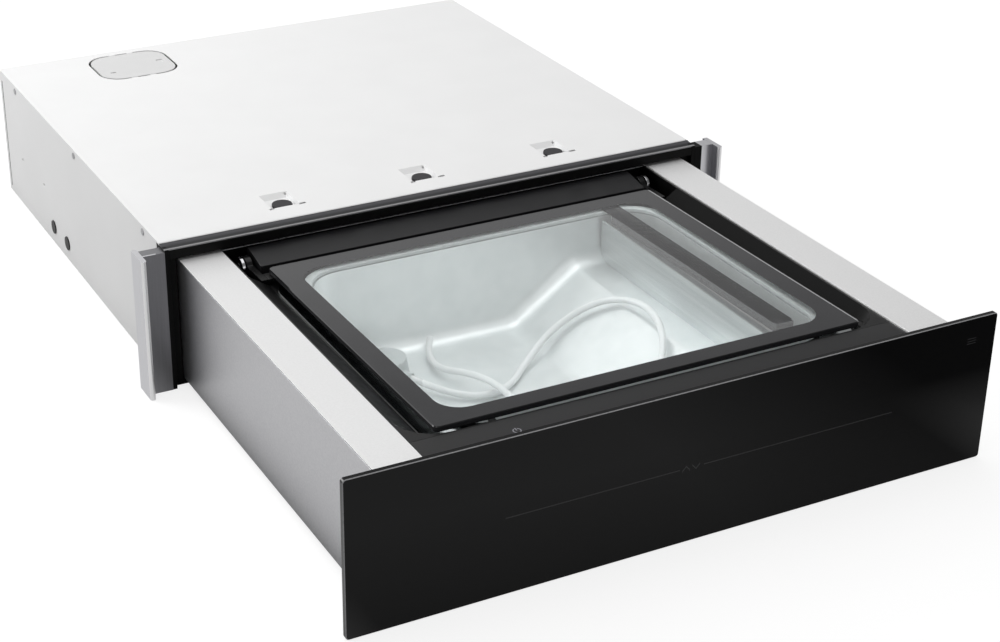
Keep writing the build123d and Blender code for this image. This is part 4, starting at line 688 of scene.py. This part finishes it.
class AddStudio(Operator):
    """Adds the camera, the pale floor, the even sky and the softboxes"""
    bl_idname = "drawer.add_studio"
    bl_label = "Studio"

    def execute(self, context):
        sizes = context.scene.drawer_studio
        context.scene.view_settings.view_transform = "Standard"
        self.add_camera(context, sizes)
        self.add_floor(sizes)
        self.add_sky(context, sizes)
        self.add_lamp("top_softbox", sizes.top_lamp, *TOP_BOX)
        self.add_lamp("left_softbox", sizes.side_lamp, *LEFT_BOX)
        return {"FINISHED"}

    def add_camera(self, context, sizes):
        lens = bpy.data.cameras.new("photo_camera")
        lens.lens = sizes.lens
        lens.sensor_fit = "HORIZONTAL"
        lens.sensor_width = SENSOR_WIDTH
        lens.shift_x, lens.shift_y = CAMERA_SHIFT
        camera = bpy.data.objects.new("photo_camera", lens)
        context.scene.collection.objects.link(camera)
        camera.location = CAMERA_SPOT
        camera.rotation_euler = Vector(CAMERA_AIM).to_track_quat("-Z", "Y").to_euler()
        context.scene.camera = camera

    def add_floor(self, sizes):
        """The floor that the camera sees, and a card in its place that only reflections see."""
        for name in ("floor", "floor_card"):
            bpy.ops.mesh.primitive_plane_add(size=FLOOR_SIZE, location=(0, 0, CAD_BOX[0][2] - FLOOR_GAP))
            floor = bpy.context.object
            floor.name = name
            material, tree, shader = blank_material(f"pale_matte_{name}", Roughness=0.9,
                    Specular_IOR_Level=0.1, Base_Color=sizes.floor_colour)
            floor.data.materials.append(material)
            card = name == "floor_card"
            floor.visible_glossy = card
            floor.visible_camera = floor.visible_diffuse = not card
            floor.visible_transmission = floor.visible_shadow = not card
            if card:
                lift = self.shade_card(tree, shader)
            else:
                path = add(tree, "ShaderNodeLightPath")
                lift = reckon(tree, "MULTIPLY", path.outputs["Is Camera Ray"], FLOOR_GLOW)
            glow = add(tree, "ShaderNodeEmission", {"Strength": lift})
            both = add(tree, "ShaderNodeAddShader", {0: shader.outputs[0], 1: glow.outputs[0]})
            tree.links.new(both.outputs[0], tree.nodes["Material Output"].inputs["Surface"])

    def shade_card(self, tree, shader):
        """Darkens the card towards the front, and gives the strength of its glow: a painted reflection for
        shine to see.
        """
        where = axes(tree)
        behind = remap(tree, where["Y"], *CARD_DEPTH)
        paint(tree, shader, behind, "#8C8C8C", "#F4F4F4")
        sides = reckon(tree, "ADD", remap(tree, where["X"], *CARD_LEFT), remap(tree, where["X"], *CARD_RIGHT))
        front = remap(tree, where["X"], *CARD_FRONT)
        return add(tree, "ShaderNodeMix", {0: behind, 2: front, 3: sides}, data_type="FLOAT").outputs[0]

    def add_sky(self, context, sizes):
        """Even light; the camera and glass see it white, and shine sees it grey overhead."""
        world = bpy.data.worlds.new("even_sky")
        context.scene.world = world
        world.use_nodes = True
        tree = world.node_tree
        path = add(tree, "ShaderNodeLightPath").outputs
        seen = reckon(tree, "MAXIMUM", path["Is Camera Ray"], path["Is Transmission Ray"])
        plain = remap(tree, seen, 0, 1, sizes.sky, 1.0)
        way = axes(tree, "Generated")
        shine = reckon(tree, "MULTIPLY", remap(tree, way["Z"], *SKY_OVERHEAD),
                remap(tree, way["X"], *SKY_RIGHT))
        glossy = reckon(tree, "SUBTRACT", path["Is Glossy Ray"], path["Is Transmission Ray"], use_clamp=True)
        mix = add(tree, "ShaderNodeMix", {0: glossy, 2: plain, 3: shine}, data_type="FLOAT")
        sky = tree.nodes["Background"]
        sky.inputs["Color"].default_value = (1, 1, 1, 1)
        tree.links.new(mix.outputs[0], sky.inputs["Strength"])

    def add_lamp(self, name, power, size, spot, target):
        lamp = bpy.data.lights.new(name, "AREA")
        lamp.energy = power
        lamp.size = size
        holder = bpy.data.objects.new(name, lamp)
        bpy.context.scene.collection.objects.link(holder)
        holder.location = spot
        holder.rotation_euler = (Vector(target) - Vector(spot)).to_track_quat("-Z", "Y").to_euler()


# The route of the hose, as (x, behind, z).
HOSE_ROUTE = [
    (-105, 274, 36), (-91, 249, 33), (-66, 226, 31), (-34, 228, 31), (2, 263, 31), (44, 290, 44),
    (82, 275, 70), (102, 241, 80), (98, 197, 80), (77, 158, 66), (38, 127, 41), (-8, 125, 31),
    (-36, 158, 31), (-43, 196, 35), (-49, 226, 41), (-60, 252, 41), (-74, 283, 33), (-70, 314, 32),
    (-57, 334, 36),
]


class AddHose(Operator):
    """Adds the loose vacuum hose and its adapter, which lie in the chamber"""
    bl_idname = "drawer.add_hose"
    bl_label = "Vacuum hose"

    def execute(self, context):
        sizes = context.scene.drawer_hose
        adapter = settle(cad_copy("hose_adapter", "hose_adapter_cup", flat=0), "drawer", "adapter_silicone",
                "adapter_silicone", "hose_adapter", smooth=40)
        line = bpy.data.curves.new("clear_hose", "CURVE")
        line.dimensions = "3D"
        spline = line.splines.new("NURBS")
        spline.points.add(len(HOSE_ROUTE) - 1)
        for point, route in zip(spline.points, HOSE_ROUTE):
            point.co = (*place(*route), 1)
        spline.order_u = 3
        spline.use_endpoint_u = True
        spline.resolution_u = 16
        line.bevel_depth = sizes.diameter / 2
        line.bevel_resolution = 6
        line.use_fill_caps = True
        hose = bpy.data.objects.new("clear_hose", line)
        context.scene.collection.objects.link(hose)
        line.materials.append(finish("hose_clear"))
        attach(hose, "drawer")
        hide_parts("vacuum_hose")
        return {"FINISHED"}


class AddFront(Operator):
    """Adds the handleless glass front and its steel tray"""
    bl_idname = "drawer.add_front"
    bl_label = "Glass front"

    def execute(self, context):
        sizes = context.scene.drawer_front
        low, high = node_box("front_glass")
        glass = box_piece("front_glass_panel", low, high)
        bevel(glass, sizes.corner, 8, lambda edge, at: runs(edge, 1))
        bevel(glass, sizes.arris, 1, lambda edge, at: not runs(edge, 1))
        settle(glass, "drawer", "front_black_glass", "front_black_glass", "front_glass")
        add_finish(glass, "glass_edge", lambda face, at: 0.1 < abs(face.normal.y) < 0.95)
        add_nodes("drawer", "galvanised", ("front_backing", "front_tray", 0.5))
        return {"FINISHED"}


class AddControlStrip(Operator):
    """Adds the touch strip between the side strips, and its circuit board"""
    bl_idname = "drawer.add_control_strip"
    bl_label = "Touch strip"

    def execute(self, context):
        add_nodes("drawer", "control_black", ("control_panel", "touch_strip", 0.4))
        add_nodes("drawer", "board_green", ("control_board", "touch_board", 0.2))
        return {"FINISHED"}


# Beyond this x to each side the top strips' sheared outer edges are painted dark as the shade of their joint
# to the wall.
SEAM_FROM = 259.5
# How far the rear cover reaches in front of its node, and how far it lies above it.
COVER_REACH = 9.8
COVER_RISE = 0.2


class AddDrawerBox(Operator):
    """Adds the drawer's walls, top strips, floor and rear cover"""
    bl_idname = "drawer.add_drawer_box"
    bl_label = "Drawer box"

    def execute(self, context):
        fold = context.scene.drawer_sheet.fold / MM
        add_nodes("drawer", "drawer_steel", ("drawer_walls", "outer_walls", fold / 2), look="wall_steel_shaded")
        for side, sign in (("left", -1), ("right", 1)):
            row = (f"side_strip_{side}", f"top_strip_{side}", fold / 2)
            strip = add_nodes("drawer", "drawer_steel", row)[0]
            add_finish(strip, "seam", lambda face, at: faces(face, 0, sign) and abs(at.x) > SEAM_FROM)
        add_nodes("drawer", "galvanised", ("drawer_base", "floor_sheet", fold),
                ("drawer_rear_wall", "rear_wall_sheet", fold))
        cover = cad_copy("rear_cover", "compartment_cover")
        front = node_box("rear_cover")[0].y
        shift(cover, "FACE", lambda face, at: faces(face, 1, -1) and near(at.y, front), (0, -COVER_REACH, 0))
        shift(cover, "VERT", lambda point, at: True, (0, 0, COVER_RISE))
        round_edges(cover, 0.3)
        settle(cover, "drawer", "galvanised", "slide_steel", "rear_cover")
        return {"FINISHED"}


# The right-hand wall of the moulding starts at this x.
WELL_WALL = 190


class AddWell(Operator):
    """Adds the black moulding round the chamber and the lid switch"""
    bl_idname = "drawer.add_well"
    bl_label = "Well moulding"

    def execute(self, context):
        edge = context.scene.drawer_sheet.moulded / MM
        well = add_nodes("drawer", "black_plastic", ("well_moulding", "well_frame", edge))[0]
        # The right-hand wall gets the darker matte frame black: painted shade.
        add_finish(well, "frame_black", lambda face, at: at.x > WELL_WALL)
        add_nodes("drawer", "black_plastic", ("lid_switch", "lid_switch_button", 1.2, 3))
        return {"FINISHED"}


# Width of the seal's painted shade in front and at the sides, and of the black painted shade on the tub's
# front lip.
SEAL_SHADE_FRONT = 9
SEAL_SHADE_SIDE = 3.2
LIP = 3
LIP_HALF = 168
# How much further back the carrier plate reaches than its node.
CARRIER_REACH = 4


class AddChamber(Operator):
    """Adds the drawn steel chamber with its seal, carrier plate and ports"""
    bl_idname = "drawer.add_chamber"
    bl_label = "Vacuum chamber"

    def execute(self, context):
        tub = cad_copy("chamber_tub", "drawn_tub", flat=0)
        settle(tub, "drawer", "chamber_steel", "chamber_steel", "chamber_tub", smooth=35)
        flange = node_box("chamber_tub")[1].z
        add_finish(tub, "flange_steel", lambda face, at: faces(face, 2, 1) and at.z > flange - 0.5)
        seal = add_nodes("drawer", "adapter_silicone", ("chamber_seal", "lip_seal", 0.8, 3))[0]
        low, high = node_box("chamber_seal")
        # The seal's front and sides get dark rubber grey, and the tub's front lip black: painted shade of the
        # gap under the lid.
        add_finish(seal, "rubber_grey", lambda face, at: at.y < low.y + SEAL_SHADE_FRONT
                or abs(at.x) > high.x - SEAL_SHADE_SIDE)
        add_finish(tub, "frame_black", lambda face, at: at.y < low.y + LIP and at.z > flange - 4
                and abs(at.x) < LIP_HALF)
        carrier = cad_copy("sealing_carrier", "lifter_cover", flat=0)
        rear = node_box("sealing_carrier")[1].y
        shift(carrier, "VERT", lambda point, at: at.y > rear - 3, (0, CARRIER_REACH, 0))
        round_edges(carrier, 0.6)
        settle(carrier, "drawer", "chamber_steel", "carrier_steel_shaded", "sealing_carrier")
        add_nodes("drawer", "black_plastic", ("suction_port", "suction_nozzle", 0.3),
                ("sealing_sleeves", "lifter_sleeves", 0.3))
        return {"FINISHED"}


# The lid's window and the strip printed over the counter bar, each as two corners (x, behind).
WINDOW = ((-176, 69.1), (174, 354.3))
COUNTER_PRINT = ((131.4, 84), (149.9, 356))
PRINT_THICKNESS = 0.15
# How far the pane lies above the hinge pins' axis.
PIN_TO_PANE = 3.5
PANE_BEVEL = 0.8
# Width of the pane's right edge, bevel and all, that gets a painted highlight.
BRIGHT_EDGE = 1.9


class AddLid(Operator):
    """Adds the glass lid with its printed border, rear rail, hinge arms and counter bar"""
    bl_idname = "drawer.add_lid"
    bl_label = "Glass lid"

    def execute(self, context):
        sizes = context.scene.drawer_lid
        hinge = sum(node_box("hinge_pins"), Vector()) / 2
        low, high = node_box("lid_glass")
        low.z = hinge.z + PIN_TO_PANE
        high.z = low.z + sizes.thickness / MM
        ajar = math.degrees(sizes.ajar)
        pane = self.add_pane(sizes, low, high)
        turn(pane, ajar, hinge.y, hinge.z)
        settle(pane, "lid", "lid_glass", None, "lid_glass")
        strip = box_piece("counter_print", (*COUNTER_PRINT[0], low.z - PRINT_THICKNESS),
                (*COUNTER_PRINT[1], low.z))
        round_edges(strip, 0.05, 1)
        turn(strip, ajar, hinge.y, hinge.z)
        settle(strip, "lid", "rubber_grey", "bar_print")
        add_nodes("lid", "chamber_steel", ("lid_rail", "lid_rear_rail", 0.6), look="hinge_metal")
        add_nodes("lid", "hinge_metal", ("hinge_arms", "lid_hinge_arms", 0.6, 3))
        add_nodes("lid", "rubber_grey", ("counter_bar", "silicone_counter_bar", 1.0, 3))
        return {"FINISHED"}

    def add_pane(self, sizes, low, high):
        """The lid's glass, lying flat: a clear window bridged to the printed border round it."""
        pane = box_piece("lid_pane", low, high)
        window = box_piece("lid_window", (*WINDOW[0], low.z), (*WINDOW[1], high.z))
        for piece, radius in ((pane, sizes.outer_corner), (window, sizes.window_corner)):
            bevel(piece, radius, 8, lambda edge, at: runs(edge, 2))
        edit(pane, "FACE", lambda face, at: abs(face.normal.z) > 0.9, bpy.ops.mesh.delete, type="ONLY_FACE")
        edit(window, "FACE", lambda face, at: abs(face.normal.z) < 0.1, bpy.ops.mesh.delete, type="ONLY_FACE")
        for look in ("lid_glass", "lid_window"):
            window.data.materials.append(finish(look))
        for face in window.data.polygons:
            face.material_index = 1
        pane.data.materials.append(finish("lid_glass"))
        alone(pane)
        window.select_set(True)
        bpy.ops.object.join()
        enter(pane)
        for level in (low.z, high.z):
            pick(pane, "EDGE", lambda edge, at: len(edge.link_faces) == 1 and near(at.z, level))
            bpy.ops.mesh.bridge_edge_loops()
        pick(pane, "EDGE", lambda edge, at: near(abs(edge.calc_face_angle(0)), math.pi / 2, 0.1)
                and not runs(edge, 2))
        bpy.ops.mesh.bevel(offset=PANE_BEVEL * MM, segments=1, affect="EDGES")
        take_all()
        bpy.ops.mesh.normals_make_consistent(inside=False)
        leave()
        split(pane, 0, high.x - BRIGHT_EDGE)
        add_finish(pane, "lid_window", lambda face, at: faces(face, 2, -1))
        add_finish(pane, "arris", lambda face, at: 0.3 < abs(face.normal.z) < 0.9)
        add_finish(pane, "glass_edge", lambda face, at: 0.3 < face.normal.z < 0.9 and face.normal.x > 0.5
                or face.normal.z > 0.9 and at.x > high.x - BRIGHT_EDGE)
        return pane


# How the hinge cover's ridge and its front edge stand off from their node.
RIDGE_SHIFT = (0, 17.5, 0.9)
COVER_SETBACK = (0, 4.5, 0)


class AddHinge(Operator):
    """Adds the hinge's cover, brackets and pins"""
    bl_idname = "drawer.add_hinge"
    bl_label = "Lid hinge"

    def execute(self, context):
        cover = cad_copy("hinge_cover", "hinge_cover_strip")
        low, high = node_box("hinge_cover")
        shift(cover, "EDGE", lambda edge, at: runs(edge, 0) and near(at.z, high.z - 1, 0.2)
                and at.y < low.y + 20, RIDGE_SHIFT)
        shift(cover, "VERT", lambda point, at: at.y < low.y + 3, COVER_SETBACK)
        round_edges(cover, 0.6)
        settle(cover, "drawer", "black_plastic", "cover_coat", "hinge_cover")
        lugs = add_nodes("drawer", "hinge_metal", ("hinge_brackets", "hinge_lugs", 0.5, 3))[0]
        add_finish(lugs, "lug_edge", lambda face, at: abs(face.normal.x) < 0.5 and face.normal.z > -0.3)
        add_nodes("drawer", "hinge_metal", ("hinge_pins", "hinge_axles", 0.6, 3))
        return {"FINISHED"}


class AddSealingBar(Operator):
    """Adds the sealing bar with its heating strip and lifter"""
    bl_idname = "drawer.add_sealing_bar"
    bl_label = "Sealing bar"

    def execute(self, context):
        add_nodes("sealing_bar", "bar_aluminium", ("sealing_bar", "seal_bar_profile", 0.8, 3))
        add_nodes("sealing_bar", "heater_metal", ("heating_strip", "seal_heating_strip", 0.1))
        add_nodes("sealing_bar", "bar_aluminium", ("lift_yoke", "seal_lift_yoke", 0.5))
        add_nodes("drawer", "bar_aluminium", ("lift_cylinder", "seal_lift_cylinder", 0.5))
        return {"FINISHED"}


# The rear joint's groove in a cabinet side, with x as a share of the side's own, and the box of its faces.
JOINT = ((0.9975, 926.6, 6), (1.01, 928.6, 127))
JOINT_BEHIND = (926.5, 928.7)
JOINT_HEIGHT = (5, 128)
# The pressed pockets of the top sheet: their middles, depth, rear wall and half width.
POCKETS = (-142, 0, 142)
POCKET_DEPTH = 4
POCKET_REAR = 488
POCKET_FRONT = 455
POCKET_HALF = 13.75
# How far a pocket's rear wall and its side walls lean in at the floor.
RAMP = 5.5
LEAN = 2
# The slots beside a pocket, each as two corners (x from its middle, behind), and its small hole.
SLOTS = (((-16.5, 453.0), (-11.5, 456.0)), ((11.5, 454.0), (19.5, 457.2)))
HOLE_SPOT = (11.5, 486)
HOLE_RADIUS = 1.3
# The sheet's front edge rolls down in two steps, each as how far back it reaches and how far it drops.
ROLL = ((5.3, -0.35), (2.3, -0.75))
# The knock-out plate: the slot round it, its seat, the x of its tabs, and the notches in its edge.
PLATE_SLOT = 2.4
PLATE_SEAT = (1.2, 0.8)
PLATE_TABS = (-151, -130.7)
TAB_HALF = 3.5
PLATE_CORNER = 21
PLATE_NOTCHES = (((-170, 868, 130), (-164, 870, 140)), ((-113, 886, 130), (-106, 888, 140)),
        ((-108, 880, 130), (-106, 888, 140)))


class AddCabinet(Operator):
    """Adds the cabinet's folded sheets, screws, plugs, buffers and cable cover"""
    bl_idname = "drawer.add_cabinet"
    bl_label = "Cabinet"

    def execute(self, context):
        fold = context.scene.drawer_sheet.fold / MM
        add_nodes("cabinet", "case_white", ("cabinet_rear_panel", "case_rear", fold),
                ("cabinet_base", "case_base", fold))
        for hand in ("left", "right"):
            node = f"cabinet_side_{hand}"
            side = cad_copy(node, f"case_side_{hand}")
            outside = max(node_box(node), key=lambda corner: abs(corner.x)).x
            cut(side, [box_piece("joint", *mirrored(outside, *JOINT))])
            round_edges(side, fold)
            settle(side, "cabinet", "case_white", "case_white", node)
            # The rear joint groove's faces get the dark seam colour as painted shade.
            add_finish(side, "seam", lambda face, at: JOINT_BEHIND[0] < at.y < JOINT_BEHIND[1]
                    and JOINT_HEIGHT[0] < at.z < JOINT_HEIGHT[1])
        self.add_top()
        self.add_plate()
        add_nodes("cabinet", "screw_steel", ("case_screws", "case_screw_set", 0.2))
        add_nodes("cabinet", "black_plastic", ("side_plugs", "side_plug_set", 0.4))
        add_nodes("cabinet", "rubber_grey", ("top_buffers", "top_buffer_set", 0.8))
        add_nodes("cabinet", "black_plastic", ("mains_gland", "mains_inlet_gland", 0.6))
        return {"FINISHED"}

    def add_top(self):
        """The top sheet with its pressed pockets and slots, and the seat of the knock-out plate."""
        top = cad_copy("cabinet_top_sheet", "case_top")
        low, high = node_box("cabinet_top_sheet")
        for x in POCKETS:
            self.shape_pocket(top, x, high.z)
        round_edges(top, 0.3, 1)
        enter(top)
        pick(top, "EDGE", lambda edge, at: runs(edge, 1) and near(abs(at.x), high.x) and near(at.z, high.z))
        bpy.ops.mesh.bevel(offset=1 * MM, segments=2, affect="EDGES")
        take_all()
        bpy.ops.mesh.remove_doubles(threshold=0.02 * MM)
        leave()
        ring = self.add_plate_prism("ring", PLATE_SLOT, high.z - 3, high.z + 1)
        cut(ring, [self.add_plate_prism("core", 0, high.z - 4, high.z + 2)])
        plate_low, plate_high = node_box("cable_cover_plate")
        for x in PLATE_TABS:
            cut(ring, [box_piece("tab", (x - TAB_HALF, plate_low.y - 4, high.z - 4),
                    (x + TAB_HALF, plate_high.y + 4, high.z + 2))])
        cut(top, [ring])
        # The seat's outline lies inside the ring's slot, so the two cuts share no wall.
        growth, depth = PLATE_SEAT
        cut(top, [self.add_plate_prism("seat", growth, high.z - depth, high.z + 1)])
        for reach in (2.5, 5.5):
            split(top, 1, low.y + reach)
        for reach, drop in ROLL:
            shift(top, "VERT", lambda point, at: at.y < low.y + reach and at.z > high.z - 2, (0, 0, drop))
        settle(top, "cabinet", "case_white", "case_white", "cabinet_top_sheet", smooth=4)
        # The rolled front edge gets the plate's grey as painted shade.
        add_finish(top, "plate_grey_and_roll_shade", lambda face, at: at.y < low.y + 2.4)
        # The side folds get dark grey as painted shade.
        add_finish(top, "fold_shade", lambda face, at: abs(at.x) > high.x - 1.3 and 0.2 < face.normal.z < 0.95)

    def shape_pocket(self, top, x, level):
        """Presses a pocket's rear wall into a ramp, leans its sides out, and cuts its slots and hole."""
        floor = level - POCKET_DEPTH
        shift(top, "EDGE", lambda edge, at: near(at.z, floor) and near(at.y, POCKET_REAR)
                and near(at.x, x, 1), (0, -RAMP, 0))
        for side in (-1, 1):
            shift(top, "EDGE", lambda edge, at: near(at.z, floor, 0.3)
                    and near(at.x, x + side * POCKET_HALF, 0.3) and POCKET_FRONT < at.y < POCKET_REAR,
                    (-LEAN * side, 0, 0))
        slots = [box_piece("slot", (x + left, front, level - 3), (x + right, rear, level + 1))
                for (left, front), (right, rear) in SLOTS]
        hole = rod_piece("hole", (x + HOLE_SPOT[0], HOLE_SPOT[1], floor - 3), HOLE_RADIUS, 8, 16)
        cut(top, slots + [hole])

    def add_plate(self):
        """The knock-out plate with its notched edge."""
        low, high = node_box("cable_cover_plate")
        plate = self.add_plate_prism("cable_cover", 0, low.z, high.z)
        cut(plate, [box_piece("hook", *corners) for corners in PLATE_NOTCHES])
        round_edges(plate, 0.25)
        settle(plate, "cabinet", "case_white", "plate_grey_and_roll_shade", "cable_cover_plate")

    def add_plate_prism(self, name, growth, bottom, top):
        """A prism with the rounded outline of the knock-out plate, grown all round."""
        low, high = node_box("cable_cover_plate")
        piece = box_piece(name, (low.x - growth, low.y - growth, bottom),
                (high.x + growth, high.y + growth, top))
        bevel(piece, (PLATE_CORNER + growth) * MM, 12, lambda edge, at: runs(edge, 2))
        return piece


# The trim's lean in degrees, and how far the top bar's upper face lies below its node.
TRIM_LEAN = -4
BAR_DROP = 1.1
# The notch and the cap of the right-hand profile, each as two corners; the left one mirrors them.
NOTCH = ((273.0, 417.2, 108), (275.2, 461, 136))
CAP = ((273.2, 416, 133.2), (293.5, 428, 134.9))
NOSE_EDGE = 404
NOSE_RADIUS = 2.3
# The profile's web, coloured darker as painted shade: its x range on the left and where it starts on the
# right, and how far behind.
WEB_LEFT = (-292.9, -273)
WEB_LEFT_BEHIND = 414
WEB_RIGHT = 288
WEB_RIGHT_BEHIND = 408
# The strip of the right-hand profile beside the mouth, coloured with the black frame coat as painted shade,
# starts and ends here.
SHADE_FROM = 272
SHADE_TO = 281


class AddMouth(Operator):
    """Adds the stepped trim, the black frame of the mouth and the mounting brackets"""
    bl_idname = "drawer.add_mouth"
    bl_label = "Mouth of the cabinet"

    def execute(self, context):
        trim = cad_copy("front_top_trim", "stepped_trim", 0.15)
        rear_top = node_box("front_top_trim")[1]
        turn(trim, TRIM_LEAN, rear_top.y, rear_top.z)
        settle(trim, "cabinet", "trim_grey", "trim_grey", "front_top_trim")
        bar = cad_copy("frame_top_bar", "mouth_top_bar")
        shift(bar, "FACE", lambda face, at: faces(face, 2, 1), (0, 0, -BAR_DROP))
        round_edges(bar, 0.4)
        settle(bar, "cabinet", "frame_black", "frame_black", "frame_top_bar")
        add_nodes("cabinet", "frame_black", ("frame_posts", "mouth_posts", 0.5),
                ("frame_bottom_bar", "mouth_bottom_bar", 0.5))
        for side, sign in (("left", -1), ("right", 1)):
            self.add_profile(side, sign)
        return {"FINISHED"}

    def add_profile(self, side, sign):
        """One aluminium profile: notched, capped and round-nosed, with a painted highlight on its nose and
        painted shade on its web and, on the right, beside the mouth.
        """
        profile = cad_copy(f"mounting_bracket_{side}", f"niche_profile_{side}")
        cut(profile, [box_piece("notch", *mirrored(sign, *NOTCH))])
        cap = box_piece("cap", *mirrored(sign, *CAP))
        modify(profile, "BOOLEAN", operation="UNION", object=cap, solver="EXACT")
        bpy.data.objects.remove(cap)
        bevel(profile, NOSE_RADIUS * MM, 6, lambda edge, at: runs(edge, 2) and near(at.y, NOSE_EDGE, 0.3))
        round_edges(profile, 0.5, 2)
        split(profile, 0, sign * SHADE_TO)
        settle(profile, "cabinet", "bracket_grey", "bracket_grey", f"mounting_bracket_{side}")
        add_finish(profile, "bracket_nose_highlight", lambda face, at: at.y < NOSE_EDGE + 2.4)
        if side == "left":
            add_finish(profile, "bracket_web_shade", lambda face, at: at.y > WEB_LEFT_BEHIND
                    and WEB_LEFT[0] < at.x < WEB_LEFT[1])
        else:
            add_finish(profile, "bracket_web_shade", lambda face, at: face.normal.x < -0.9
                    and at.x > WEB_RIGHT and at.y > WEB_RIGHT_BEHIND)
            # The strip beside the mouth gets the black frame coat as painted shade.
            add_finish(profile, "frame_black", lambda face, at: SHADE_FROM < at.x < SHADE_TO
                    and face.normal.y < 0.5)


class AddSlides(Operator):
    """Adds the full-extension slides and the push latch"""
    bl_idname = "drawer.add_slides"
    bl_label = "Slides"

    def execute(self, context):
        for node, body in (("slides_outer", "cabinet"), ("slides_middle", "slide_middles"),
                ("slides_inner", "drawer")):
            add_nodes(body, "slide_steel", (node, f"{node}_profile", 0.4))
        add_nodes("cabinet", "black_plastic", ("push_latch_housing", "latch_housing", 0.8))
        add_nodes("latch", "black_plastic", ("push_latch_plunger", "latch_plunger", 0.6))
        return {"FINISHED"}


class AddWorks(Operator):
    """Adds the pump, motor, valves, transformer, boards and fan in the rear compartment"""
    bl_idname = "drawer.add_works"
    bl_label = "Pump and electrics"

    def execute(self, context):
        for node, body, slot in (("vacuum_pump", "drawer", "pump_metal"),
                ("pump_motor", "drawer", "motor_metal"), ("pump_rotor", "rotor", "motor_metal"),
                ("valve_block", "drawer", "pump_metal"), ("pump_feet", "drawer", "rubber_grey"),
                ("transformer", "drawer", "transformer_iron"), ("power_board", "drawer", "board_green"),
                ("fan_housing", "drawer", "black_plastic"), ("fan_wheel", "fan", "black_plastic")):
            add_nodes(body, slot, (node, f"{node}_finished", 0.3))
        return {"FINISHED"}


class DrawerPanel(Panel):
    """Lists the pieces of the vacuum drawer"""
    bl_idname = "VIEW3D_PT_vacuum_drawer"
    bl_label = "Vacuum Drawer"
    bl_space_type = "VIEW_3D"
    bl_region_type = "UI"
    bl_category = "Vacuum Drawer"

    def draw(self, context):
        for operator in OPERATORS:
            self.layout.operator(operator.bl_idname)


OPERATORS = (AddStudio, AddHose, AddFront, AddControlStrip, AddDrawerBox, AddWell, AddChamber, AddLid,
        AddHinge, AddSealingBar, AddCabinet, AddMouth, AddSlides, AddWorks)
SETTINGS = {
    "drawer_studio": DrawerStudioSettings,
    "drawer_front": DrawerFrontSettings,
    "drawer_lid": DrawerLidSettings,
    "drawer_sheet": DrawerSheetSettings,
    "drawer_hose": DrawerHoseSettings,
}


def register():
    for settings in SETTINGS.values():
        bpy.utils.register_class(settings)
    for operator in OPERATORS:
        bpy.utils.register_class(operator)
    bpy.utils.register_class(DrawerPanel)
    for name, settings in SETTINGS.items():
        setattr(bpy.types.Scene, name, PointerProperty(type=settings))


def unregister():
    for name in SETTINGS:
        delattr(bpy.types.Scene, name)
    bpy.utils.unregister_class(DrawerPanel)
    for operator in reversed(OPERATORS):
        bpy.utils.unregister_class(operator)
    for settings in SETTINGS.values():
        bpy.utils.unregister_class(settings)


def main():
    register()
    for operator in OPERATORS:
        group, name = operator.bl_idname.split(".")
        getattr(getattr(bpy.ops, group), name)()


if __name__ == "__main__":
    main()
